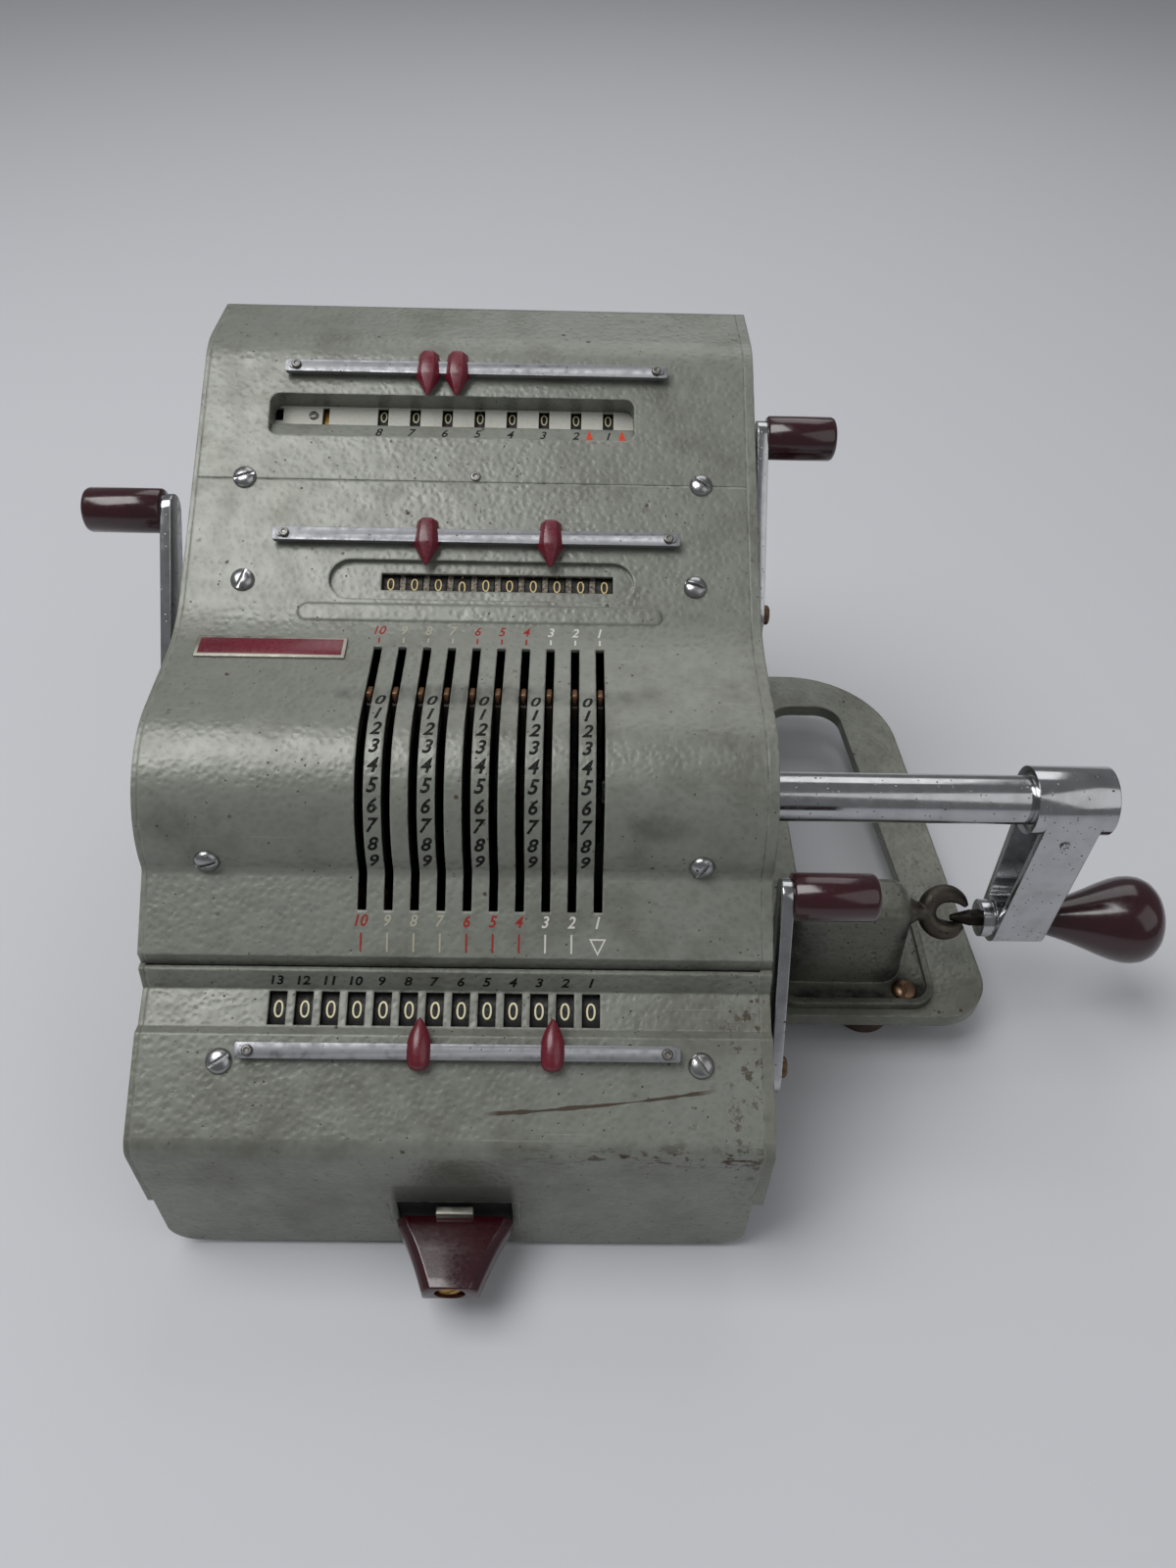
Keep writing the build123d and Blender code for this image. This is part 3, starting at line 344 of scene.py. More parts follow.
# The nodes that the finishes use: Blender's kind, its settings, the sockets in the order that values are
# given for them, and the output that is read, or None for the node itself.
NODES = {
    "shader": ("ShaderNodeBsdfPrincipled", {}, (), None),
    "surface": ("ShaderNodeOutputMaterial", {}, (0,), None),
    "coordinates": ("ShaderNodeTexCoord", {}, (), "Object"),
    "facing": ("ShaderNodeNewGeometry", {}, (), "Normal"),
    "rounded": ("ShaderNodeBevel", {"samples": 4}, (0,), 0),
    "noise": ("ShaderNodeTexNoise", {}, ("Vector", "Scale", "Detail", "Roughness"), "Fac"),
    "cells": ("ShaderNodeTexVoronoi", {}, ("Vector", "Scale", "Smoothness"), None),
    "ball": ("ShaderNodeTexGradient", {"gradient_type": "SPHERICAL"}, (0,), "Fac"),
    "mapping": ("ShaderNodeMapping", {}, ("Vector", "Scale", "Rotation"), 0),
    "placed": ("ShaderNodeMapping", {"vector_type": "TEXTURE"}, ("Vector", "Scale", "Location"), 0),
    "xyz": ("ShaderNodeSeparateXYZ", {}, (0,), None),
    "red": ("ShaderNodeSeparateColor", {}, (0,), 0),
    "range": ("ShaderNodeMapRange", {}, (0, 1, 2, 3, 4), 0),
    "mix": ("ShaderNodeMix", {"data_type": "RGBA"}, (0, 6, 7), 2),
    "bump": ("ShaderNodeBump", {}, ("Height", "Distance", "Strength", "Normal"), 0),
    "plus": ("ShaderNodeMath", {"operation": "ADD"}, (0, 1), 0),
    "minus": ("ShaderNodeMath", {"operation": "SUBTRACT"}, (0, 1), 0),
    "times": ("ShaderNodeMath", {"operation": "MULTIPLY"}, (0, 1), 0),
    "most": ("ShaderNodeMath", {"operation": "MAXIMUM"}, (0, 1), 0),
    "below": ("ShaderNodeMath", {"operation": "LESS_THAN"}, (0, 1), 0),
    "absolute": ("ShaderNodeMath", {"operation": "ABSOLUTE"}, (0,), 0),
    "cosine": ("ShaderNodeMath", {"operation": "COSINE"}, (0,), 0),
    "vector plus": ("ShaderNodeVectorMath", {"operation": "ADD"}, (0, 1), 0),
    "vector minus": ("ShaderNodeVectorMath", {"operation": "SUBTRACT"}, (0, 1), 0),
    "vector times": ("ShaderNodeVectorMath", {"operation": "MULTIPLY"}, (0, 1), 0),
    "scaled": ("ShaderNodeVectorMath", {"operation": "SCALE"}, (0, "Scale"), 0),
    "dot": ("ShaderNodeVectorMath", {"operation": "DOT_PRODUCT"}, (0, 1), "Value"),
    "length": ("ShaderNodeVectorMath", {"operation": "LENGTH"}, (0,), "Value"),
}


def put(tree, name, *values, out=None, **settings):
    """Adds a node by its name in NODES; a socket takes a value or the output that feeds it."""
    kind, usual, sockets, read = NODES[name]
    node = tree.nodes.new(kind)
    for setting, value in {**usual, **settings}.items():
        setattr(node, setting, value)
    for socket, value in zip(sockets, values):
        if isinstance(value, bpy.types.NodeSocket):
            tree.links.new(value, node.inputs[socket])
        else:
            node.inputs[socket].default_value = value
    read = read if out is None else out
    return node if read is None else node.outputs[read]


def per_metre(millimetres):
    """The texture scale that repeats about once in a length."""
    return 1 / (millimetres * MM)


def shade(tone, share=1.0):
    """A linear colour made darker or lighter, with its alpha."""
    return (*(min(1.0, share * channel) for channel in tone), 1.0)


def start_finish(name, **sockets):
    """An empty finish with its shader; returns its tree, shader and object coordinates."""
    material = bpy.data.materials.new(name)
    material.use_nodes = True
    tree = material.node_tree
    tree.nodes.clear()
    shader = put(tree, "shader")
    for socket, value in sockets.items():
        shader.inputs[socket.replace("_", " ")].default_value = value
    put(tree, "surface", shader.outputs["BSDF"])
    FINISHES[name] = material
    return tree, shader, put(tree, "coordinates")


def feed(tree, shader, **outputs):
    """Links outputs to the shader's sockets."""
    for socket, output in outputs.items():
        tree.links.new(output, shader.inputs[socket.replace("_", " ")])


def specks(tree, space, spacing, radius, share):
    """Scattered round specks: 1 inside a speck, for about a share of the cells."""
    cells = put(tree, "cells", space, per_metre(spacing))
    near = put(tree, "range", cells.outputs["Distance"], radius / spacing, 0.55 * radius / spacing)
    chance = put(tree, "red", cells.outputs["Color"])
    return put(tree, "times", near, put(tree, "range", chance, share + 0.02, share - 0.02))


def scratches(tree, space, turn, width, run):
    """Long thin marks along one direction."""
    drawn_out = put(tree, "mapping", space, (width / run, 1.0, 1.0), (0.3, 0.2, radians(turn)))
    thin = put(tree, "range", put(tree, "noise", drawn_out, per_metre(width), 1.0, 0.55), 0.735, 0.765)
    patchy = put(tree, "range", put(tree, "noise", space, per_metre(22.0), 2.0, 0.55), 0.5, 0.62)
    return put(tree, "times", thin, patchy)


def edge_mask(tree, radius):
    """1 along sharp edges, fading over a radius in millimetres, and the normal that rounds them."""
    rounded = put(tree, "rounded", radius * MM)
    match = put(tree, "dot", rounded, put(tree, "facing"))
    return put(tree, "range", match, 0.985, 0.86), rounded


def make_enamel(name, base, dark, colours, grain, grime, pitted=0.0, dark_patches=None):
    """Hammertone stove enamel: dimples catch the light, grime lies in it, specks and edges are bare; dark patches
    add grime, and painted shade on the crank rest's front.
    """
    tree, shader, space = start_finish(name, Roughness=0.37, IOR=1.5, Metallic=0.2)
    wander = put(tree, "noise", space, per_metre(2.2 * grain), out="Color")
    warped = put(tree, "vector plus", space, put(tree, "scaled", wander, 0.9 * grain * MM))
    cells = put(tree, "cells", warped, per_metre(grain), 0.5, out="Distance", feature="SMOOTH_F1")
    flecks = put(tree, "range", cells, 0.1, 0.7, 0.0, 0.5)
    flecks = put(tree, "mix", flecks, shade(base, 0.93), shade(base, 1.14))
    cloud = put(tree, "noise", space, per_metre(24.0), 5.0, 0.62)
    cloud = put(tree, "range", cloud, 0.5 - grime, 0.74 - grime, 0.0, 0.7)
    tint = put(tree, "mix", cloud, flecks, shade(dark))
    spots = specks(tree, warped, 2.6, 0.36, 0.45)
    for spacing, radius, share in ((6.5, 0.8, 0.3), (1.7, 0.42, 1.4 * pitted)):
        spots = put(tree, "most", spots, specks(tree, warped, spacing, radius, share))
    patches = put(tree, "noise", space, per_metre(17.0), 3.0, 0.55)
    marks = put(tree, "times", spots, put(tree, "range", patches, 0.40 - 0.6 * pitted, 0.52 - 0.6 * pitted))
    stains = put(tree, "range", put(tree, "noise", space, per_metre(3.2), 5.0, 0.7), 0.6, 0.7, 0.0, 0.55)
    stained = put(tree, "range", put(tree, "noise", space, per_metre(31.0), 2.0, 0.55), 0.52, 0.62)
    marks = put(tree, "most", marks, put(tree, "times", stains, stained))
    edge, soft_normal = edge_mask(tree, 0.9)
    bare = put(tree, "range", put(tree, "noise", space, per_metre(4.0), 4.0, 0.55), 0.4, 0.56, 0.0, 0.6)
    scuffs = put(tree, "most", scratches(tree, space, 8, 0.3, 70.0), scratches(tree, space, -63, 0.26, 45.0))
    rough = put(tree, "range", put(tree, "noise", space, per_metre(7.0), 4.0, 0.55), 0.3, 0.7, 0.27, 0.44)
    if dark_patches:
        marks, darkening = dark_patches(tree, space, marks)
        # Dark patches go near black: grime round the slots, a dark patch over the carriage's knob, grease and
        # painted shade on the crank rest.
        tint = put(tree, "mix", darkening, tint, shade(dark, 0.06))
        rough = put(tree, "most", rough, put(tree, "times", darkening, 0.9))
    tint = put(tree, "mix", put(tree, "times", marks, 0.88), tint, shade(colours.rust))
    bright = put(tree, "most", put(tree, "times", edge, bare), put(tree, "times", scuffs, 0.4))
    relief = put(tree, "bump", put(tree, "range", cells, 0.12, 0.62), 0.085 * MM, 0.9, soft_normal)
    fine = put(tree, "noise", space, per_metre(0.45 * grain), 2.0, 0.55)
    relief = put(tree, "bump", fine, 0.03 * MM, 0.6, relief)
    feed(tree, shader, Base_Color=put(tree, "mix", bright, tint, shade(base, 2.1)),
         Roughness=put(tree, "most", rough, put(tree, "times", marks, 0.75)),
         Normal=put(tree, "bump", marks, -0.05 * MM, 1.0, relief))


def carriage_marks(tree, space, marks):
    """The carriage's long curved scratch, the chafed front edge and a dark patch that fades upward from its knob.
    """
    along, _, high = put(tree, "xyz", space).outputs
    share = put(tree, "range", along, place(9.0, 0, 0).x, place(71.0, 0, 0).x)
    bow = put(tree, "plus", share, put(tree, "times", share, share))
    line = put(tree, "plus", put(tree, "times", bow, 1.7 * MM), place(0, 0, -38.2).z)
    away = put(tree, "absolute", put(tree, "minus", high, line))
    wide = put(tree, "noise", space, per_metre(9.0), 2.0, 0.55)
    scratch = put(tree, "below", away, put(tree, "range", wide, 0.3, 0.7, 0.06 * MM, 0.34 * MM))
    ends = put(tree, "times", put(tree, "range", share, 0.0, 0.06), put(tree, "range", share, 1.0, 0.9))
    marks = put(tree, "most", marks, put(tree, "times", scratch, ends))
    drawn_out = put(tree, "mapping", space, (0.35, 1, 1))
    chafed = put(tree, "range", put(tree, "noise", drawn_out, per_metre(2.2), 4.0, 0.7), 0.54, 0.59)
    rubbed = put(tree, "range", put(tree, "noise", space, per_metre(3.4), 5.0, 0.72), 0.55, 0.6, 0.0, 0.9)
    for rub, sideways, upright in (
        (chafed, (5, 45), ((-51.5, -47.0), (-41.0, -44.5))),
        (rubbed, (66, 78), ((-80.0, -44.0),)),
    ):
        band = put(tree, "range", along, *(place(x, 0, 0).x for x in sideways))
        for edges in upright:
            band = put(tree, "times", band, put(tree, "range", high, *(place(0, 0, z).z for z in edges)))
        marks = put(tree, "most", marks, put(tree, "times", rub, band))
    # A dark patch as wide as the knob, darkest just over its top and fading upward, with a softer one round the
    # knob.
    aside = put(tree, "absolute", put(tree, "minus", along, DRUM.x))
    darkening = put(tree, "range", aside, 18.5 * MM, 15.5 * MM, 0.0, 0.93)
    for start, end, weakest in ((-56.5, -62.0, 0.0), (-56.0, -72.5, 0.45), (-86.0, -76.0, 0.3)):
        band = put(tree, "range", high, place(0, 0, start).z, place(0, 0, end).z, weakest, 1.0)
        darkening = put(tree, "times", darkening, band)
    return marks, put(tree, "most", darkening, smudge(tree, space, (0, CARRIAGE_FRONT_Y, -66), (30, 30, 20), 0.5))


def smudge(tree, space, centre, reach, share):
    """A soft dark patch round a place, its reach along x, y and z in millimetres."""
    ball = put(tree, "ball", put(tree, "placed", space, Vector(reach) * MM, place(*centre)))
    patchy = put(tree, "range", put(tree, "noise", space, per_metre(5.0), 4.0, 0.65), 0.3, 0.62, 0.55, 1.0)
    return put(tree, "times", put(tree, "range", ball, 0.0, 0.6, 0.0, share), patchy)


def slot_smear(tree, space, marks):
    """The oily band that the setting levers' tips leave between the slots, and a wiped patch beside them."""
    middle = place(FIRST_SLOT_X - 4.5 * SLOT_PITCH, 6.8, COVER_RADIUS)
    band = put(tree, "ball", put(tree, "placed", space, Vector((48, 5.2, 9)) * MM, middle))
    along = put(tree, "minus", put(tree, "xyz", space).outputs[0], place(FIRST_SLOT_X, 0, 0).x)
    wave = put(tree, "cosine", put(tree, "times", along, 2 * pi / (SLOT_PITCH * MM)))
    beside = put(tree, "range", wave, -1.0, 1.0, 0.35, 1.0)
    smear = put(tree, "times", put(tree, "range", band, 0.0, 0.4), beside)
    patchy = put(tree, "noise", space, per_metre(6.0), 3.0, 0.55)
    smear = put(tree, "times", smear, put(tree, "range", patchy, 0.34, 0.6, 0.225, 0.75))
    return marks, put(tree, "most", smear, smudge(tree, space, (54.0, -27.0, 14.0), (11, 9, 4), 0.3))


def rest_grime(tree, space, marks):
    """Black grease down the crank rest's outer corner and along its flange, and painted shade on its front."""
    darkening = smudge(tree, space, (139.0, -6.0, -53.0), (7, 12, 10), 1.0)
    for centre, reach, share in (
        ((139.5, -7.5, -63.0), (8, 12, 11), 1.0),
        ((139.0, -11.0, -72.0), (11, 11, 9), 1.0),
        ((142.0, -14.0, -76.0), (11, 9, 5), 1.0),
        ((120.0, -15.5, -76.5), (36, 5, 5), 1.0),
        # Painted shade: a broad darker patch on the rest's front.
        ((99.0, -9.0, -62.0), (15, 12, 24), 0.85),
    ):
        darkening = put(tree, "most", darkening, smudge(tree, space, centre, reach, share))
    return marks, darkening


def make_metal(name, tone, colours, rough, pits, tarnish, edge=0.4):
    """Plated or turned metal with pits and a film of tarnish that dulls it unevenly."""
    tree, shader, space = start_finish(name, Metallic=1.0, Roughness=rough)
    film = put(tree, "range", put(tree, "noise", space, per_metre(7.0), 4.0, 0.55), 0.42, 0.68, 0.0, tarnish)
    fine_pits, wide_pits = specks(tree, space, 1.5, 0.28, pits), specks(tree, space, 3.6, 0.5, 0.6 * pits)
    pitted = put(tree, "most", fine_pits, wide_pits)
    dull = [0.45 * a + 0.55 * b for a, b in zip(tone, colours.rust)]
    tint = put(tree, "mix", film, shade(tone), shade(dull))
    grain = put(tree, "noise", space, per_metre(3.0), 3.0, 0.55)
    grain = put(tree, "range", grain, 0.3, 0.7, rough * 0.75, rough * 1.45)
    tint = put(tree, "mix", put(tree, "times", pitted, 0.8), tint, shade(colours.rust))
    feed(tree, shader, Base_Color=tint,
         Roughness=put(tree, "most", grain, put(tree, "times", pitted, 0.7)),
         Normal=put(tree, "bump", pitted, -0.05 * MM, 1.0, put(tree, "rounded", edge * MM)))


def make_lever_brass(name, tone, colours):
    """Brass with a film of tarnish: painted near black below the cover's face for the shade inside the slots,
    rubbed to a brown shine at the finger tips.
    """
    tree, shader, space = start_finish(name, Metallic=0.85, Roughness=0.42)
    out = put(tree, "vector times", put(tree, "vector minus", space, DRUM), (0, 1, 1))
    reach = put(tree, "length", out)
    rubbed = put(tree, "range", reach, (COVER_RADIUS - 2.2) * MM, (COVER_RADIUS + 0.4) * MM)
    film = put(tree, "range", put(tree, "noise", space, per_metre(1.6), 4.0, 0.55), 0.4, 0.66, 0.0, 0.6)
    # Painted shade: the levers go near black below the cover's face, inside the slots.
    slot_shade = shade([0.025 + 0.05 * channel for channel in tone])
    tint = put(tree, "mix", rubbed, slot_shade, put(tree, "mix", film, shade(tone), shade(colours.rust)))
    feed(tree, shader, Base_Color=tint, Roughness=put(tree, "range", film, 0.0, 0.6, 0.36, 0.62),
         Normal=put(tree, "bump", film, 0.02 * MM, 1.0))


def make_plastic(name, tone, rough, coat):
    """Moulded and polished plastic: deep colour under a gloss that fine handling marks break up."""
    tree, shader, space = start_finish(name, Roughness=rough, IOR=1.54, Coat_Weight=coat, Coat_Roughness=0.08)
    cloud = put(tree, "range", put(tree, "noise", space, per_metre(14.0), 3.0, 0.55), 0.3, 0.7)
    tint = put(tree, "mix", cloud, shade(tone), shade(tone, 0.72))
    dust = put(tree, "times", specks(tree, space, 3.4, 0.16, 0.08), 0.3)
    marks = put(tree, "noise", space, per_metre(1.2), 4.0, 0.55)
    tint = put(tree, "mix", dust, tint, shade([0.3 + 0.4 * channel for channel in tone]))
    feed(tree, shader, Base_Color=tint,
         Roughness=put(tree, "range", marks, 0.3, 0.75, rough * 0.8, rough * 1.7),
         Normal=put(tree, "bump", marks, 0.012 * MM, 1.0))


def make_spacer(name, tone):
    """Plain collars under a felt of dust: dull, with dark and pale grains."""
    tree, shader, space = start_finish(name, Roughness=0.8)
    grains = put(tree, "range", put(tree, "noise", space, per_metre(0.7), 4.0, 0.75), 0.42, 0.6)
    feed(tree, shader, Base_Color=put(tree, "mix", grains, shade(tone, 0.25), shade(tone, 1.5)),
         Normal=put(tree, "bump", grains, 0.03 * MM, 1.0))


def make_print(name, tone):
    """Screen-printed or filled figures: a dry, slightly worn paint."""
    tree, shader, space = start_finish(name, Roughness=0.6, Specular_IOR_Level=0.15)
    worn = put(tree, "range", put(tree, "noise", space, per_metre(1.1), 3.0, 0.55), 0.5, 0.72, 0.0, 0.35)
    feed(tree, shader,
         Base_Color=put(tree, "mix", worn, shade(tone), shade([0.45 * channel + 0.12 for channel in tone])))


def make_rubber(name, tone):
    """Vulcanised rubber gone dull, with dust in its fine pores."""
    tree, shader, space = start_finish(name, Roughness=0.85)
    dust = put(tree, "range", put(tree, "noise", space, per_metre(4.0), 4.0, 0.55), 0.5, 0.7, 0.0, 0.5)
    pores = put(tree, "noise", space, per_metre(0.8), 2.0, 0.55)
    feed(tree, shader, Base_Color=put(tree, "mix", dust, shade(tone), shade([2.6 * c + 0.02 for c in tone])),
         Normal=put(tree, "bump", pores, 0.06 * MM, 1.0))


def finish(name):
    return FINISHES[name]


class CALC_OT_finishes(bpy.types.Operator):
    """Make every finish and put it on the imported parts"""
    bl_idname = "calculator.finishes"
    bl_label = "Finishes"

    def execute(self, context):
        colours = context.scene.calculator_colours
        sizes = context.scene.calculator_sizes
        grain = sizes.hammer_grain / MM
        enamel, dark = tuple(colours.enamel), tuple(colours.enamel_dark)
        casting = tuple(colours.casting)
        make_enamel("hammertone_enamel", enamel, dark, colours, grain, 0.0)
        make_enamel("slotted_enamel", enamel, dark, colours, grain, 0.0, 0.02, slot_smear)
        make_enamel("casting_enamel", casting, dark, colours, grain, 0.08)
        make_enamel("carriage_enamel", enamel, dark, colours, grain, 0.03, 0.05, carriage_marks)
        make_enamel("rest_enamel", [0.8 * c for c in casting], dark, colours, grain, 0.14, 0.4, rest_grime)
        for name, tone, rough, pits, tarnish, edge in (
            ("chromium_plate", colours.chrome, 0.14, 0.42, 0.3, 0.4),
            ("stamped_steel", colours.steel, 0.38, 0.35, 0.55, 0.4),
            ("oily_steel", linear("2b2a28"), 0.5, 0.1, 0.5, 0.4),
            ("rusty_steel", linear("7c6450"), 0.36, 0.6, 0.8, 0.4),
            ("bright_brass", linear("b08a44"), 0.34, 0.2, 0.4, 0.4),
            ("rail_steel", linear("8e8f92"), 0.44, 0.14, 0.2, 0.25),
            ("worn_steel", linear("5a5650"), 0.46, 0.5, 0.85, 0.4),
            ("screw_steel", linear("a9a9aa"), 0.24, 0.3, 0.4, 0.4),
            ("nickel_plate", colours.plate, 0.42, 0.12, 0.2, 0.4),
        ):
            make_metal(name, tuple(tone), colours, rough, pits, tarnish, edge)
        make_lever_brass("dull_brass", tuple(colours.brass), colours)
        make_plastic("maroon_plastic", tuple(colours.maroon), 0.16, 0.3)
        make_plastic("marker_plastic", tuple(colours.marker), 0.26, 0.15)
        make_plastic("wheel_plastic", tuple(colours.wheel), 0.55, 0.0)
        make_spacer("dusty_spacer", tuple(colours.spacer))
        make_rubber("dull_rubber", tuple(colours.rubber))
        # Near-black finish of the plate that paints the shade inside the shift knob's opening.
        make_rubber("opening_shade_black", linear("080706"))
        for name, tone in (
            ("cream_figures", colours.cream), ("golden_figures", linear("dcc48a")),
            ("light_lacquer", linear("bdbdb4")), ("black_print", colours.ink),
            ("white_print", colours.white_print), ("faded_print", colours.faded_print),
            ("red_print", colours.red_print), ("orange_print", linear("c8442a")),
        ):
            make_print(name, tuple(tone))
        by_slot = {
            "grey_paint": "hammertone_enamel", "base_paint": "casting_enamel", "chrome": "chromium_plate",
            "steel": "stamped_steel", "brass": "dull_brass", "maroon": "maroon_plastic",
            "black_wheel": "wheel_plastic", "light_plate": "nickel_plate", "rubber": "dull_rubber",
        }
        for part in frame["record"]["subparts"]:
            node = frame["nodes"][part["node"]]
            material = finish(by_slot[part["material_slot"]])
            node.data.materials.clear()
            node.data.materials.append(material)
        for name, material in (("carriage_cover", "carriage_enamel"), ("counter_plate", "nickel_plate"),
                               ("front_cover", "slotted_enamel"), ("crank_rest", "rest_enamel"),
                               ("pinwheels", "oily_steel"), ("setting_pins", "oily_steel"),
                               ("bearing_frames", "oily_steel"), ("lock_pin", "oily_steel")):
            frame["nodes"][name].data.materials[0] = finish(material)
        return {"FINISHED"}


def screw_head(name, radius, height, groove):
    """A round-head screw with its slot, standing on the origin."""
    shares = [(-0.2, 0.97), (0.1, 1.0), (0.45, 0.93), (0.75, 0.74), (0.95, 0.42), (1.0, 0.12)]
    head = turned(name, [(share * height, wide * radius) for share, wide in shares], 32)
    cut(head, block("slot", (-radius - 1, -groove / 2, 0.5 * height), (radius + 1, groove / 2, 2 * height)))
    smooth(head, 40)
    return head


class CALC_OT_screws(bpy.types.Operator):
    """Slotted round-head screws, and the pins and oil plug of the levers and crank"""
    bl_idname = "calculator.screws"
    bl_label = "Screws"

    def execute(self, context):
        radius = context.scene.calculator_sizes.screw / MM / 2
        head = screw_head("cover_screw", radius, 1.9, 0.9)
        small = screw_head("small_screw", 1.5, 0.8, 0.5)
        plug = turned("hollow_screw", [(0.0, 1.5), (0.5, 1.5), (0.62, 1.3), (0.62, 0.8), (0.2, 0.7),
                                       (0.2, 0.1)], 24)
        smooth(plug, 40)
        flange = axes(place(140.2, -13.6, -75.6), (1, 0, 0), (0, -0.15, 1))
        plate = well_matrix(-50.9, COUNTER_WINDOW_RISE - 0.4, -COUNTER_WELL_DEPTH)
        arm = axes(place(173.5, -9.7, -9.2), (1, 0, 0), (0, -1, 0))
        spots = [
            (head, "rear_left", slope_matrix(-68.2, 76.0), 20, "base", "screw_steel"),
            (head, "rear_right", slope_matrix(68.2, 76.0), -35, "base", "screw_steel"),
            (head, "front_left", slope_matrix(-66.0, 47.3), 70, "base", "screw_steel"),
            (head, "front_right", slope_matrix(66.0, 47.3), -20, "base", "screw_steel"),
            (head, "drum_left", drum_matrix(-65.8, 84), 15, "base", "screw_steel"),
            (head, "drum_right", drum_matrix(65.8, 84), 60, "base", "screw_steel"),
            (head, "carriage_left", carriage_matrix(-60.9, 6.9), 35, "carriage", "screw_steel"),
            (head, "carriage_right", carriage_matrix(65.9, 6.9), -55, "carriage", "screw_steel"),
            (head, "rest_flange", flange @ Matrix.Scale(1.2, 4), 65, "base", "rusty_steel"),
            (plug, "seam", slope_matrix(0.6, 77.4), 0, "base", "stamped_steel"),
            (small, "counter_plate", plate, 30, "base", "stamped_steel"),
            (plug, "crank_oil", arm, 0, "crank", "chromium_plate"),
        ]
        for pattern, name, matrix, turn, body, material in spots:
            screw = copied(pattern, f"screw_{name}")
            seat(screw, body, finish(material), matrix @ Matrix.Rotation(radians(turn), 4, "Z"))
        for name, joint, outward in (("counter", "counter_clear", 1), ("result", "result_clear", 1),
                                     ("left", "setting_clear", -1)):
            body = f"{name}_lever"
            low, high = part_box(f"{name}_lever_arm")
            pivot = joint_place(joint)
            x = (high.x if outward > 0 else low.x) / MM
            pin = turned(f"pivot_pin_{name}", [(-0.3, 2.9), (0.0, 3.0), (1.9, 3.0), (2.4, 2.5), (2.4, 0.2)],
                         32)
            cut(pin, block("slot", (-4, -0.4, 1.5), (4, 0.4, 3)))
            smooth(pin, 40)
            matrix = axes(Vector((x * MM, pivot.y, pivot.z)), (0, 1, 0.4), (outward, 0, 0))
            seat(pin, body, finish("rusty_steel"), matrix)
        for used in (head, small, plug):
            bpy.data.objects.remove(used)
        return {"FINISHED"}


class CALC_OT_name_place(bpy.types.Operator):
    """The bare plate at the left of the covers"""
    bl_idname = "calculator.name_place"
    bl_label = "Bare plate"

    def execute(self, context):
        rim = block("bare_plate_rim", (-21.2, -4.2, -0.1), (21.2, 4.2, 0.7))
        modify(rim, "BEVEL", width=0.35 * MM, segments=2, limit_method="ANGLE")
        field = block("bare_plate_field", (-20.2, -3.2, 0.2), (20.2, 3.2, 0.78))
        modify(field, "BEVEL", width=0.2 * MM, segments=2, limit_method="ANGLE")
        flat = hollow_matrix(-54.8, 25.5, 0.15)
        for piece, material, slot in ((rim, "nickel_plate", "light_plate"),
                                      (field, "marker_plastic", "maroon")):
            smooth(piece)
            seat(piece, "base", finish(material), flat)
        return {"FINISHED"}


# ---- figures
def figure(text, height, stretch=1.0, slant=0.0, thickness=0.06, weight=0.0):
    """A number as a mesh, lying in x and y about the origin, in millimetres."""
    deselect()
    bpy.ops.object.text_add()
    piece = bpy.context.active_object
    piece.data.body = text
    piece.data.size = height * MM / 0.7
    piece.data.shear = slant
    piece.data.offset = weight * MM
    piece.data.extrude = thickness * MM / 2
    piece.data.resolution_u = 4
    bpy.ops.object.convert(target="MESH")
    piece = bpy.context.active_object
    points = [vertex.co.copy() for vertex in piece.data.vertices]
    low = Vector(map(min, zip(*points)))
    high = Vector(map(max, zip(*points)))
    size = high - low
    fit = Matrix.Diagonal((stretch * height * MM / size.y, height * MM / size.y, 1, 1))
    piece.data.transform(fit @ Matrix.Translation(-(low + high) / 2))
    return piece


def sliced(piece, height, steps):
    """Cuts a flat figure into bands, so that it can be bent."""
    edit(piece)
    for step in range(1, steps):
        bpy.ops.mesh.select_all(action="SELECT")
        level = (step / steps - 0.5) * height * MM
        bpy.ops.mesh.bisect(plane_co=(0, level, 0), plane_no=(0, 1, 0))
    bpy.ops.object.mode_set(mode="OBJECT")


def bent(piece, radius):
    """Bends a flat figure about the x axis, a radius below it, and leaves its middle where it was."""
    for vertex in piece.data.vertices:
        angle = vertex.co.y / (radius * MM)
        reach = radius * MM + vertex.co.z
        vertex.co.y = reach * sin(angle)
        vertex.co.z = reach * cos(angle) - radius * MM


def pointer(name, wide, high, line):
    """The outline of a triangle that points down, a line wide."""
    deselect()
    bpy.ops.mesh.primitive_circle_add(vertices=3, radius=wide * MM / sqrt(3), fill_type="NGON",
                                      rotation=(0, 0, pi))
    piece = bpy.context.active_object
    piece.name = piece.data.name = name
    bpy.ops.object.transform_apply(location=True, rotation=True, scale=True)
    edit(piece)
    bpy.ops.mesh.select_all(action="SELECT")
    bpy.ops.mesh.inset(thickness=line * MM)
    bpy.ops.mesh.delete(type="FACE")
    bpy.ops.mesh.select_all(action="SELECT")
    bpy.ops.mesh.extrude_region_move(TRANSFORM_OT_translate={"value": (0, 0, 0.05 * MM)})
    close_edit()
    piece.data.transform(Matrix.Diagonal((1, high / wide, 1, 1)))
    return piece


